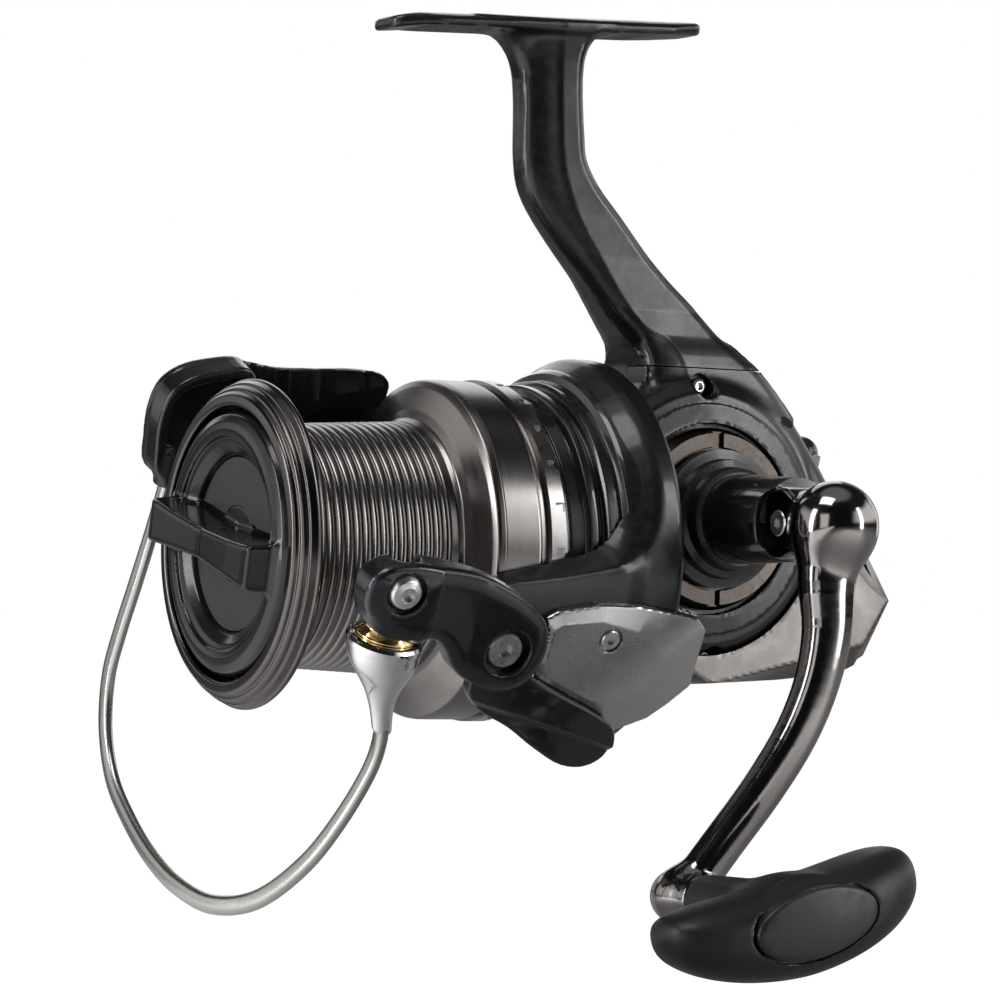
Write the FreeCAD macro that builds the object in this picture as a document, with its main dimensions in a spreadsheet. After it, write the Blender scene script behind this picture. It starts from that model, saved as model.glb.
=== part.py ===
import FreeCAD, Part
import math
import os
import Sketcher
from FreeCAD import Placement, Rotation, Vector

# Spinning reel. Frame: +X forward along the main shaft, +Y towards the crank side (left),
# +Z up to the rod foot. Origin: on the main shaft's axis, in the plane of the crank axis.
# Millimetres throughout.

doc = FreeCAD.newDocument("SpinningReel")
sheet = doc.addObject("Spreadsheet::Sheet", "Dims")

# alias, value, meaning
DIMENSIONS = [
    ("crank_z", 9.3, "crank axis above the shaft axis"),
    ("split_y", 2.0, "plane between body and side cover"),
    ("core_half", 13.0, "half width of the gearbox core"),
    ("disc_y", 19.0, "outer face of the round gear housings"),
    ("disc_rad", 31.0, "radius of the round gear housings"),
    ("front_x", 22.5, "front end of the gearbox core"),
    ("flange_x", 33.0, "front of the front wall"),
    ("flange_rad", 30.0, "radius of the front wall"),
    ("split_z", 46.2, "line between leg and side cover"),
    ("foot_half", 8.5, "half width of the rod foot"),
    ("shaft_rad", 2.5, "main shaft"),
    ("shaft_rear", -35.0, "rear end of the main shaft"),
    ("shaft_front", 124.0, "front end of the main shaft"),
    ("pinion_bore", 2.55, "pinion bore, running on the main shaft"),
    ("pinion_tip", 5.6, "pinion tooth tips"),
    ("pinion_stem", 4.5, "pinion stem"),
    ("pinion_rear", 9.0, "pinion rear end"),
    ("pinion_front", 52.0, "pinion front end"),
    ("drive_rad", 4.0, "drive shaft"),
    ("gear_rad", 21.5, "drive gear disc"),
    ("gear_back", -12.0, "drive gear back face"),
    ("gear_face", -8.0, "drive gear disc face"),
    ("gear_tip", -5.75, "drive gear tooth tips"),
    ("bearing_rad", 9.5, "bearing outer radius"),
    ("loop_rad", 47.2, "rotor loop outer radius"),
    ("loop_rear", 24.5, "rotor loop rear edge"),
    ("rotor_cyl", 38.0, "rotor sleeve under the spool skirt"),
    ("rotor_front", 56.0, "front edge of the rotor sleeve"),
    ("arm_in", 41.5, "rotor arm inner radius"),
    ("arm_out", 48.0, "rotor arm outer radius"),
    ("pivot_x", 74.0, "bail pivot axis along the shaft"),
    ("arm_angle", -24.6, "rotor arms turned about the shaft, degrees"),
    ("lip_rad", 38.5, "spool front lip"),
    ("lip_front", 121.5, "spool front face"),
    ("drum_rear", 76.0, "line drum rear end"),
    ("drum_front", 112.0, "line drum front end"),
    ("drum_rad_rear", 30.2, "drum radius, rear"),
    ("drum_rad_front", 28.3, "drum radius, front"),
    ("skirt_rad", 40.5, "skirt outer radius"),
    ("skirt_in", 38.6, "skirt inner radius"),
    ("skirt_rear", 57.5, "rear edge of the skirt's aluminium"),
    ("ring_rear", 53.4, "rear edge of the notched ring"),
    ("ring_rad", 40.9, "notched ring outer radius"),
    ("ring_notches", 24, "notches in the ring"),
    ("rib_pitch", 2.3, "pitch of the drum's ribs"),
    ("rib_count", 15, "grooves between the ribs"),
    ("dknob_rad", 31.2, "drag knob radius"),
    ("dknob_disc", 20.3, "drag knob inset radius"),
    ("bar_front", 129.0, "drag knob bar, front"),
    ("bar_half", 27.6, "drag knob bar, half length"),
    ("bar_angle", -12.0, "drag knob bar about the shaft, degrees"),
    ("shank_y", 24.0, "crank shank inner end"),
    ("shank_end", 57.0, "crank shank outer end"),
    ("fold_y", 60.0, "fold pin"),
    ("fold_z", 8.3, "fold pin height"),
    ("ball_y", 72.0, "crank ball centre"),
    ("ball_rad", 10.3, "crank ball"),
    ("knuckle_rad", 8.5, "fold knuckle"),
    ("knob_x", 34.8, "knob spindle axis"),
    ("knob_z", -77.8, "knob spindle axis"),
    ("knob_ball_y", 66.0, "arm end ball centre"),
    ("knob_ball_rad", 7.6, "arm end ball"),
    ("knob_face_y", 121.0, "outer face of the knob"),
    ("worm_y", 3.0, "worm shaft axis"),
    ("worm_z", -12.6, "worm shaft axis"),
    ("worm_rad", 3.5, "worm shaft"),
    ("slider_rear", -34.0, "slider block rear face"),
    ("slider_len", 8.0, "slider block length"),
    ("rod_y", 8.5, "guide rod axis"),
    ("rod_z", -1.0, "guide rod axis"),
]
for row, (alias, value, meaning) in enumerate(DIMENSIONS, start=1):
    sheet.set("A%d" % row, meaning)
    sheet.set("B%d" % row, str(value))
    sheet.setAlias("B%d" % row, alias)
doc.recompute()

nodes = []


# ---------------------------------------------------------------- sizes
# A size is a number, a sheet alias, an alias with a minus sign, or a tuple of those to be added.
def size(item):
    if isinstance(item, (int, float)):
        return float(item)
    if isinstance(item, str):
        return -float(sheet.get(item[1:])) if item[0] == "-" else float(sheet.get(item))
    return sum(size(part) for part in item)


def formula(item):
    """The same size as an expression on the sheet."""
    if isinstance(item, (int, float)):
        return "%.6g" % item
    if isinstance(item, str):
        return "-Dims." + item[1:] if item[0] == "-" else "Dims." + item
    return " + ".join("(%s)" % formula(part) for part in item)


def bound(item):
    """True where the size depends on the sheet."""
    if isinstance(item, (int, float)):
        return False
    return isinstance(item, str) or any(bound(part) for part in item)


def set_size(obj, prop, item):
    setattr(obj, prop, size(item))
    if bound(item):
        obj.setExpression(prop, formula(item))


# ---------------------------------------------------------------- places
AXIS_TO_Y = Rotation(Vector(0, 0, 1), 90)          # own X axis to +Y
AXIS_TO_MINUS_Y = Rotation(Vector(0, 0, 1), -90)   # own X axis to -Y
AXIS_TO_Z = Rotation(Vector(0, 1, 0), -90)         # own X axis to +Z
Z_TO_X = Rotation(Vector(0, 1, 0), 90)             # own Z axis to +X


def at(x=0, y=0, z=0):
    return Placement(Vector(x, y, z), Rotation())


def along_y(x, y, z):
    return Placement(Vector(x, y, z), AXIS_TO_Y)


def on_crank(y):
    """On the crank axis, pointing to +Y."""
    return along_y(0, y, size("crank_z"))


# rotor arm frame: x along the shaft from the bail pivot, y outwards, z across
ARM = Placement(Vector(size("pivot_x"), 0, 0), Rotation(Vector(1, 0, 0), size("arm_angle")))


def on_arm(x, y, z, turn=Rotation()):
    return ARM * Placement(Vector(x, y, z), turn)


# ---------------------------------------------------------------- sketches and bodies
def add(kind, label):
    obj = doc.addObject(kind, label)
    obj.Label = label
    return obj


def origin_feature(body, role):
    return [feature for feature in body.Origin.OriginFeatures if feature.Role == role][0]


def outline(sketch, points):
    """A closed polyline whose corners are each held by two signed distances from the origin."""
    count = len(points)
    corners = [Vector(size(across), size(up), 0) for across, up in points]
    sketch.addGeometry([Part.LineSegment(corners[i], corners[(i + 1) % count])
                        for i in range(count)], False)
    for i in range(count):
        sketch.addConstraint(Sketcher.Constraint("Coincident", i, 2, (i + 1) % count, 1))
    for i, (across, up) in enumerate(points):
        for kind, axis, item in (("DistanceX", -2, across), ("DistanceY", -1, up)):
            if abs(size(item)) < 1e-9 and not bound(item):
                sketch.addConstraint(Sketcher.Constraint("PointOnObject", i, 1, axis))
                continue
            index = sketch.addConstraint(Sketcher.Constraint(kind, -1, 1, i, 1, size(item)))
            if bound(item):
                sketch.setExpression("Constraints[%d]" % index, formula(item))


def sketch_on(body, role, name, offset=None):
    sketch = body.newObject("Sketcher::SketchObject", name)
    sketch.AttachmentSupport = [(origin_feature(body, role), "")]
    sketch.MapMode = "FlatFace"
    if offset is not None:
        sketch.AttachmentOffset = offset
    return sketch


def turned(label, points, place=None):
    """A half section of (along the axis, radius) revolved about its own X axis."""
    body = add("PartDesign::Body", label)
    sketch = sketch_on(body, "XY_Plane", label + "_section")
    outline(sketch, points)
    turn = body.newObject("PartDesign::Revolution", label + "_turn")
    turn.Profile = sketch
    turn.ReferenceAxis = (sketch, ["H_Axis"])
    turn.Angle = 360.0
    if place is not None:
        body.Placement = place
    return body


def crank_turned(label, points):
    """A turned piece on the crank axis, measured in y."""
    body = turned(label, points, on_crank(0))
    body.setExpression("Placement.Base.z", "Dims.crank_z")
    return body


def plate(label, points, low, high, place=None):
    """A flat piece: a side view of (x, z) points, from Y = low to Y = high."""
    body = add("PartDesign::Body", label)
    # the XZ plane's normal is -Y, so the sketch sits at Y = high and the pad runs to Y = low + 0
    sketch = sketch_on(body, "XZ_Plane", label + "_side", at(0, 0, -size(high)))
    if bound(high):
        sketch.setExpression("AttachmentOffset.Base.z", "-(%s)" % formula(high))
    outline(sketch, points)
    # the offset is undone by the pad's direction: see the two signs of high here
    pad = body.newObject("PartDesign::Pad", label + "_pad")
    pad.Profile = sketch
    pad.Length = size(high) - size(low)
    if bound(high) or bound(low):
        pad.setExpression("Length", "(%s) - (%s)" % (formula(high), formula(low)))
    if place is not None:
        body.Placement = place
    return body


def arm_plate(label, points, low, high):
    """A flat piece in the rotor arm frame."""
    body = plate(label, points, low, high, ARM)
    body.setExpression("Placement.Base.x", "Dims.pivot_x")
    return body


def front_pad(label, points, rear, length, place):
    """A front view of (y, z) points, padded forward from X = rear."""
    body = add("PartDesign::Body", label)
    sketch = sketch_on(body, "YZ_Plane", label + "_front", at(0, 0, rear))
    outline(sketch, points)
    pad = body.newObject("PartDesign::Pad", label + "_pad")
    pad.Profile = sketch
    set_size(pad, "Length", length)
    body.Placement = place
    return body


def cut_gaps(body, name, plural, points, width, count):
    """Equal gaps of one width cut around the body's own X axis."""
    doc.recompute()
    sketch = sketch_on(body, "XY_Plane", name)
    outline(sketch, points)
    gap = body.newObject("PartDesign::Pocket", name + "_cut")
    gap.Profile = sketch
    gap.Midplane = True
    gap.Length = width
    pattern = body.newObject("PartDesign::PolarPattern", plural)
    pattern.Originals = [gap]
    pattern.Axis = (origin_feature(body, "X_Axis"), [""])
    pattern.Angle = 360.0
    pattern.Occurrences = count
    body.Tip = pattern


# ---------------------------------------------------------------- simple solids
def rod(label, radius, length, place):
    """A plain round bar along its own X axis."""
    bar = add("Part::Cylinder", label)
    set_size(bar, "Radius", radius)
    set_size(bar, "Height", length)
    bar.Placement = place * Placement(Vector(0, 0, 0), Z_TO_X)
    return bar


def block(label, sides, place):
    box = add("Part::Box", label)
    for prop, side in zip(("Length", "Width", "Height"), sides):
        set_size(box, prop, side)
    box.Placement = place
    return box


def sphere(label, radius, x, y, z):
    ball = add("Part::Sphere", label)
    set_size(ball, "Radius", radius)
    ball.Placement = at(x, y, z)
    return ball


def hexagon(label, corner_radius, length, x):
    """A hexagonal bar along X, starting at x."""
    prism = add("Part::Prism", label)
    prism.Polygon = 6
    prism.Circumradius = corner_radius
    prism.Height = length
    prism.Placement = Placement(Vector(x, 0, 0), Z_TO_X)
    return prism


def free(label, shape, place=None):
    feature = add("Part::Feature", label)
    feature.Shape = shape
    if place is not None:
        feature.Placement = place
    return feature


# ---------------------------------------------------------------- combining
def cut(label, base, *tools):
    """The tools are cut away one after another."""
    for k, tool in enumerate(tools):
        last = k == len(tools) - 1
        result = add("Part::Cut", label if last else "%s_c%d" % (label, k))
        result.Base = base
        result.Tool = tool
        base = result
    return base


def join(label, *shapes):
    fusion = add("Part::MultiFuse", label)
    fusion.Shapes = list(shapes)
    return fusion


def common(label, *shapes):
    overlap = add("Part::MultiCommon", label)
    overlap.Shapes = list(shapes)
    return overlap


def group(label, *shapes):
    """Several separate solids of one kind under one name."""
    compound = add("Part::Compound", label)
    compound.Links = list(shapes)
    return compound


def node(obj, name=None):
    """Registers a finished piece for export."""
    if name:
        obj.Label = name
    nodes.append(obj)


# ---------------------------------------------------------------- repeated parts
def screw(label, place, head, shank, key):
    """A socket head screw along its own X axis: shank from 0, head beyond it.
    head is (radius, height), shank is (radius, length), key is the socket's corner radius."""
    head_rad, head_height = head
    shank_rad, length = shank
    end = length + head_height
    blank = turned(label + "_turn", [
        (0, 0), (0, shank_rad), (length, shank_rad), (length, head_rad),
        (length + head_height * 0.8, head_rad), (end, head_rad - head_height * 0.2), (end, 0)])
    socket = hexagon(label + "_key", key, head_height, length + head_height * 0.35)
    result = cut(label, blank, socket)
    result.Placement = place
    return result


def bearing(label, start, end, bore, outer, place=None):
    """A sealed ball bearing as one ring with a shield groove in each face."""
    depth = 0.4
    low = bore + (outer - bore) * 0.3
    high = bore + (outer - bore) * 0.72
    return turned(label, [
        (start, bore), (start, low), (start + depth, low), (start + depth, high), (start, high),
        (start, outer), (end, outer), (end, high), (end - depth, high), (end - depth, low),
        (end, low), (end, bore)], place)


def swept_coil(pitch, height, radius, section_rad):
    """A round section swept along a helix about Z."""
    helix = Part.makeHelix(pitch, height, radius)
    section = Part.Wire([Part.makeCircle(section_rad, Vector(radius, 0, 0), Vector(0, 1, 0))])
    return Part.Wire(helix).makePipeShell([section], True, True)


def oval_wire(centre, tangent, side, width, depth):
    """A squarish oval, of the given width along 'side', square to the tangent."""
    tangent = Vector(*tangent).normalize()
    side = Vector(*side)
    side = (side - tangent * side.dot(tangent)).normalize()
    normal = tangent.cross(side)
    points = []
    for k in range(16):
        angle = 2 * math.pi * k / 16
        cosine = math.cos(angle)
        sine = math.sin(angle)
        scale = 1.0 / (abs(cosine) ** 3 + abs(sine) ** 3) ** (1 / 3.0)
        points.append(Vector(*centre) + side * (width / 2 * cosine * scale)
                      + normal * (depth / 2 * sine * scale))
    spline = Part.BSplineCurve()
    spline.interpolate(points, PeriodicFlag=True)
    return Part.Wire([spline.toShape()])


# ---------------------------------------------------------------- gearbox: shared shapes
# side views, (x, z)
CORE = [("front_x", -24), ("front_x", 36), (13.6, 43.4), (13.4, "split_z"), (-18.1, "split_z"),
        (-23.3, 40), (-29.6, 32.8), (-35.9, 24.5), (-43, 14), (-50, 2), (-54, -9), (-50, -18),
        (-40, -23.5), (-20, -26), (5, -26)]
HOLLOW = [(22.5, -20.6), (22.5, 31), (-10, 32.5), (-22, 26), (-36, 10), (-46, -2), (-49.5, -9),
          (-46, -15), (-38, -19.5), (-18, -21.3), (8, -21.3)]

DISC_WIDTH = 8.0
COVER_SCREWS = [(0.6, 41.6), (-3.0, -23.6), (-27.6, 28.2)]   # (x, z)
CLUTCH_SCREW_CIRCLE = 15.6
CLUTCH_SCREWS = [(CLUTCH_SCREW_CIRCLE * math.cos(math.radians(90 + 120 * k)),
                  CLUTCH_SCREW_CIRCLE * math.sin(math.radians(90 + 120 * k)))
                 for k in range(3)]                          # (y, z)
LEVER_X, LEVER_Z = -36.2, 20.2                               # anti-reverse lever pin

cover_holes = [rod("cover_hole_%d" % k, 1.3, 20.0, along_y(x, -6.0, z))
               for k, (x, z) in enumerate(COVER_SCREWS)]
clutch_holes = [rod("clutch_hole_%d" % k, 1.05, 8.0, at(27.5, y, z))
                for k, (y, z) in enumerate(CLUTCH_SCREWS)]
lever_holes = [rod("lever_bore", 1.55, 10.0, along_y(LEVER_X, -5.0, LEVER_Z)),
               block("lever_slot", (12, 5.0, 12), at(-44.0, -2.5, 17.2))]
shaft_holes = [rod("worm_front_hole", 2.05, 8.0, at(21.5, size("worm_y"), size("worm_z"))),
               rod("worm_rear_hole", 2.05, 8.0, at(-49.3, size("worm_y"), size("worm_z"))),
               rod("guide_hole", 1.5, 80.0, at(-52.0, size("rod_y"), size("rod_z")))]

# ---------------------------------------------------------------- leg and rod foot
# z, rear x, front x, half width of each section of the leg
LEG = [("split_z", -18.1, 13.4, 11.0), (52.0, -11.6, 15.4, 9.2), (60.0, -3.8, 22.3, 7.6),
       (72.4, 9.4, 33.1, 6.6), (82.8, 18.6, 41.8, 6.3), (88.6, 24.0, 44.8, 6.2),
       (94.6, 27.4, 45.9, 6.1), (113.9, 30.0, 46.5, 6.3), (121.6, 29.0, 50.0, 7.2)]
LEG_CHAMFER = 1.6    # at the rear corners; the front corners have twice this
FOOT = [(-3.0, 128.9), (-3.0, 131.2), (-1.1, 132.0), (75.8, 127.7), (83.9, 125.6),
        (83.9, 122.9), (76.0, 124.0), (54.5, 125.2), (48.0, 121.0), (30.0, 119.0),
        (27.0, 124.2)]


def leg_section(body, index, z, rear, front, half):
    sketch = sketch_on(body, "XY_Plane", "leg_section_%d" % index, at(0, 0, size(z)))
    if bound(z):
        sketch.setExpression("AttachmentOffset.Base.z", formula(z))
    small = LEG_CHAMFER
    large = 2 * LEG_CHAMFER
    outline(sketch, [(rear, -half + small), (rear + small, -half), (front - large, -half),
                     (front, -half + large), (front, half - large), (front - large, half),
                     (rear + small, half), (rear, half - small)])
    return sketch


def leg_and_foot():
    body = add("PartDesign::Body", "leg_and_foot")
    sections = [leg_section(body, k, *station) for k, station in enumerate(LEG)]
    loft = body.newObject("PartDesign::AdditiveLoft", "leg_loft")
    loft.Profile = sections[0]
    loft.Sections = sections[1:]
    loft.Ruled = True
    sketch = sketch_on(body, "XZ_Plane", "foot_side")
    outline(sketch, FOOT)
    foot = body.newObject("PartDesign::Pad", "foot_pad")
    foot.Profile = sketch
    foot.Midplane = True
    foot.Length = 2 * size("foot_half")
    foot.setExpression("Length", "2 * Dims.foot_half")
    return body


# ---------------------------------------------------------------- reel body
# The right housing, front wall, leg and foot are one casting, hollow towards the side cover.
WALL_OVERLAP = 3.0    # the front wall reaches this far back into the core
front_wall = cut(
    "front_wall_trimmed",
    rod("front_wall", "flange_rad", ("flange_x", "-front_x", WALL_OVERLAP),
        at(size("front_x") - WALL_OVERLAP)),
    block("front_wall_trim", (8, 40, 80),
          at(size("front_x") - 8.0 + 0.001, size("split_y"), -40)))
body_outer = join("body_outer",
                  plate("core_right", CORE, "-core_half", "split_y"),
                  rod("disc_right", "disc_rad", DISC_WIDTH, on_crank(-size("disc_y"))),
                  front_wall,
                  leg_and_foot())
body_hollowed = cut("body_hollowed", body_outer,
                    plate("hollow_right", HOLLOW, -15.5, ("split_y", 0.5)))
body_bossed = join("body_bossed", body_hollowed, rod("boss_right", 12.5, 3.0, on_crank(-16.5)))
node(cut("reel_body", body_bossed,
         rod("bore_right_bearing", "bearing_rad", 5.2, on_crank(-18.7)),
         rod("bore_right_shaft", 5.0, 6.0, on_crank(-20.0)),
         turned("bore_front_wall", [(20, 0), (20, 5.6), (26, 5.6), (26, "bearing_rad"),
                                    (31, "bearing_rad"), (31, 12.5), (34, 12.5), (34, 0)]),
         *cover_holes, *clutch_holes, *lever_holes, *shaft_holes))

# ---------------------------------------------------------------- side cover (left housing)
COVER_TOP = [(13.5, 43.4), (13.4, "split_z"), (-18.1, "split_z"), (-23.3, 40), (-20, 30),
             (15, 30)]
cover_outer = join("side_cover_outer",
                   plate("core_left", CORE, ("split_y", 0.02), "core_half"),
                   rod("disc_left", "disc_rad", DISC_WIDTH,
                       on_crank(size("disc_y") - DISC_WIDTH)),
                   plate("side_cover_top", COVER_TOP, "core_half", 14.4))
node(cut("side_cover", cover_outer,
         block("disc_left_trim", (20, 30, 80),
               at(size("front_x") - 0.1, size("split_y") - 1, -40)),
         plate("hollow_left", HOLLOW, ("split_y", -0.5), 11.8),
         rod("hollow_left_round", 23.5, 5.6, on_crank(10.0)),
         rod("bore_left_bearing", "bearing_rad", 12.0, on_crank(10.0)),
         crank_turned("recess_left", [(17.2, 0), (17.2, 22.9), (20, 22.9), (20, 0)]),
         crank_turned("groove_left", [(18.3, 25.8), (18.3, 28.3), (20, 28.3), (20, 25.8)]),
         *cover_holes,
         *[rod("cover_head_hole_%d" % k, 2.7, 8.0, along_y(x, 11.2, z))
           for k, (x, z) in enumerate(COVER_SCREWS)],
         *lever_holes, *shaft_holes))
node(group("cover_screws", *[
    screw("cover_screw_%d" % k, along_y(x, -4.0, z), head=(2.5, 1.8), shank=(1.25, 15.2), key=1.3)
    for k, (x, z) in enumerate(COVER_SCREWS)]))

# ---------------------------------------------------------------- rear cover
# A faceted shell over the back and the underside; side views, (x, z).
REAR_OUTER = [(-44.6, 15.6), (-53.9, 1.6), (-63.5, -9.6), (-55.9, -23.7), (-47.8, -28.3),
              (-26.8, -30.1), (2.0, -31.3), (6.0, -26.4), (-3, -10), (-30, 12)]
REAR_SLICE = [(-70, -40), (-70, 20), (-40, 20), (-52, -6), (-44, -24), (-20, -27.5), (6, -27.5),
              (6, -40)]
REAR_INNER = [(40, -20.4), (40, 50), (-23.5, 40.3), (-36.2, 24.8), (-43.3, 14.2), (-50.3, 2.1),
              (-54.4, -9), (-50.3, -18.3), (-40, -23.9), (-20, -26.4), (5, -26.4)]
REAR_SCREW_X, REAR_SCREW_Z = -44.0, -10.0

node(cut("rear_cover",
         plate("rear_outer", REAR_OUTER, -16.5, 16.5),
         plate("rear_inner", REAR_INNER, ("-core_half", -0.2), ("core_half", 0.2)),
         rod("rear_disc", ("disc_rad", 0.3), 44.0, on_crank(-22.0)),
         plate("rear_slice_left", REAR_SLICE, 14.6, 18),
         plate("rear_slice_right", REAR_SLICE, -18, -14.6),
         rod("rear_screw_hole", 1.3, 44.0, along_y(REAR_SCREW_X, -22.0, REAR_SCREW_Z)),
         rod("rear_head_hole", 2.7, 3.0, along_y(REAR_SCREW_X, 15.1, REAR_SCREW_Z)),
         rod("rear_head_hole2", 2.7, 3.0, along_y(REAR_SCREW_X, -18.1, REAR_SCREW_Z))))
node(group("rear_cover_screws", *[
    screw(label, Placement(Vector(REAR_SCREW_X, y, REAR_SCREW_Z), turn),
          head=(2.5, 1.3), shank=(1.25, 2.0), key=1.2)
    for label, y, turn in (("rear_screw_l", 13.2, AXIS_TO_Y),
                           ("rear_screw_r", -13.2, AXIS_TO_MINUS_Y))]))

# ---------------------------------------------------------------- gearbox fittings
# threaded ring with two spanner slots that holds the left bearing
node(cut("crank_ring",
         crank_turned("crank_ring_turn0", [
             (17.3, 9.7), (17.3, 22.2), (18.6, 22.2), (20.4, 21.4), (22.0, 20.8), (22.0, 17.5),
             (20.8, 17.2), (20.8, 9.7)]),
         block("spanner_slot_a", (3.0, 1.6, 50), at(-1.5, 20.9, size("crank_z") - 25))))

drive_bore = size("drive_rad") + 0.05
node(bearing("left_bearing", 12.2, 17.1, drive_bore, size("bearing_rad"), on_crank(0)))
node(bearing("right_bearing", -18.6, -13.6, drive_bore, size("bearing_rad"), on_crank(0)))
node(bearing("front_bearing", 26.0, 30.9, size("pinion_stem") + 0.05, size("bearing_rad")))

# cap over the right end of the drive shaft
node(cut("shaft_cap",
         crank_turned("shaft_cap_turn0", [
             (-19.05, 0), (-19.05, 12.0), (-20.2, 12.0), (-23.5, 10.6), (-24.4, 9.4),
             (-24.4, 5.2), (-23.6, 5.0), (-23.6, 0)]),
         block("coin_slot", (14, 1.2, 1.8), at(-7, -24.5, size("crank_z") - 0.9))))

node(turned("one_way_clutch", [(31.05, 7.55), (31.05, 12.45), (36.4, 12.45), (36.4, 7.55)]))
node(cut("clutch_plate",
         turned("clutch_plate_turn0", [("flange_x", 12.55), ("flange_x", 19.0),
                                       (("flange_x", 1.4), 19.0), (("flange_x", 1.4), 12.55)]),
         *clutch_holes))
node(group("clutch_screws", *[
    screw("clutch_screw_%d" % k, at(28.0, y, z), head=(2.0, 1.2), shank=(1.0, 6.4), key=1.0)
    for k, (y, z) in enumerate(CLUTCH_SCREWS)]))

node(rod("guide_rod", 1.45, 71.8, at(-49.8, size("rod_y"), size("rod_z"))))
node(turned("worm_bush", [(17.2, 2.05), (17.2, 3.8), (22.4, 3.8), (22.4, 2.05)],
            at(0, size("worm_y"), size("worm_z"))))

# anti-reverse lever: a small paddle on a cross pin behind the gearbox
LEVER_PADDLE = [(-35.0, 18.2), (-33.6, 20.2), (-34.6, 22.0), (-36.8, 23.4), (-41.8, 26.9),
                (-43.6, 26.2), (-43.0, 23.6), (-38.8, 20.0), (-37.2, 18.4)]
node(join("anti_reverse_lever",
          plate("lever_paddle", LEVER_PADDLE, -2.2, 2.2),
          rod("lever_pin", 1.5, 9.6, along_y(LEVER_X, -4.8, LEVER_Z))))

# ---------------------------------------------------------------- crank train
drive_gear = crank_turned("drive_gear_blank", [
    ("gear_back", "drive_rad"), ("gear_back", 9.0), (-10.5, 9.0), (-10.5, "gear_rad"),
    ("gear_tip", "gear_rad"), ("gear_tip", 12.2), ("gear_face", 12.2), ("gear_face", 7.0),
    (-3.9, 7.0), (-3.9, "drive_rad")])
cut_gaps(drive_gear, "tooth_gap", "tooth_gaps",
         [(-5.0, 11.0), (-5.0, 23.0), ("gear_face", 23.0), ("gear_face", 11.0)],
         width=1.35, count=41)
node(drive_gear, "drive_gear")
node(crank_turned("drive_shaft", [(-18.8, 0), (-18.8, "drive_rad"), (30.0, "drive_rad"),
                                  (31.0, 3.2), (31.0, 0)]))
node(crank_turned("shank_collar", [
    (22.3, 9.0), (22.3, 16.8), (24.6, 16.8), (25.2, 14.6), (27.8, 14.2), (28.4, 12.6),
    (31.6, 12.2), (32.4, 11.2), (32.4, 9.0)]))


def on_fold(x, y=0.0, z=0.0):
    """Measured from the fold pin's axis, which runs along X."""
    return at(x, size("fold_y") + y, size("fold_z") + z)


# shank with a tongue that enters the knuckle
shank_turn = crank_turned("shank_turn", [
    ("shank_y", "drive_rad"), ("shank_y", 9.0), (32.6, 9.0), (33.0, 10.9), ("shank_end", 9.9),
    ("shank_end", 0), (31.5, 0), (31.5, "drive_rad")])
shank_relieved = cut("shank_relieved", shank_turn,
                     rod("knuckle_clear", ("knuckle_rad", 0.35), 30.0, on_fold(-15)))
shank_tongued = join("shank_tongued", shank_relieved,
                     block("tongue_bar", (6.0, 16.0, 8.0), on_fold(-3.0, -16.0, -4.0)),
                     rod("tongue_eye", 6.0, 6.0, on_fold(-3.0)))
node(cut("handle_shank", shank_tongued, rod("tongue_hole", 2.04, 8.0, on_fold(-4.0))))

# ---------------------------------------------------------------- crank arm
# It folds about the pin. Stations of its beam: centre, width, depth.
BEAM = [((1.0, 72.0, 3.0), 15.0, 12.0), ((2.4, 72.6, -4.0), 13.6, 10.5),
        ((2.4, 73.2, -16.0), 11.6, 9.4), ((4.6, 73.2, -28.0), 10.4, 8.8),
        ((9.4, 72.4, -40.0), 9.8, 8.4), ((17.0, 70.8, -52.5), 9.6, 8.0),
        ((26.0, 68.6, -65.0), 9.6, 8.0), ((33.4, 66.6, -75.6), 9.8, 8.4)]


def arm_beam():
    wires = []
    for k, (centre, width, depth) in enumerate(BEAM):
        before = BEAM[max(k - 1, 0)][0]
        after = BEAM[min(k + 1, len(BEAM) - 1)][0]
        tangent = [after[i] - before[i] for i in range(3)]
        wires.append(oval_wire(centre, tangent, (1, 0, 0), width, depth))
    return free("arm_beam", Part.makeLoft(wires, True, False))


handle_arm = join("handle_arm_joined",
                  rod("knuckle", "knuckle_rad", 15.6, on_fold(-7.8)),
                  sphere("crank_ball", "ball_rad", 0, size("ball_y"), 8.1),
                  arm_beam(),
                  sphere("arm_end_ball", "knob_ball_rad",
                         size("knob_x"), size("knob_ball_y"), size("knob_z")))
node(cut("handle_arm", handle_arm,
         block("knuckle_slot", (6.5, 14.0, 24.0), on_fold(-3.25, -14.0, -12.0)),
         rod("knuckle_slot_round", 6.3, 6.5, on_fold(-3.25)),
         rod("knuckle_pin_hole", 2.0, 30.0, on_fold(-15)),
         rod("knuckle_head_sink", 3.3, 3.0, on_fold(6.4)),
         rod("spindle_hole", 2.5, 20.0,
             along_y(size("knob_x"), size("knob_ball_y") - 8, size("knob_z")))))
node(screw("fold_pin", on_fold(-7.0), head=(3.1, 1.4), shank=(1.98, 13.6), key=1.3))

# ---------------------------------------------------------------- crank knob
KNOB = along_y(size("knob_x"), 0, size("knob_z"))   # turned pieces on the spindle, measured in y
KNOB_TILT = Rotation(Vector(0, 1, 0), 11.5)         # the cross bar rises towards the rear

node(turned("knob_spindle", [(58.4, 0), (58.4, 2.5), (73.7, 2.5), (73.7, 4.6), (74.6, 4.6),
                             (74.6, 2.4), (112.0, 2.4), (112.0, 0)], KNOB))
node(group("knob_bearings",
           bearing("knob_bearing_in", 80.0, 84.0, 2.45, 5.0, KNOB),
           bearing("knob_bearing_out", 104.0, 108.0, 2.45, 5.0, KNOB)))


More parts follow.
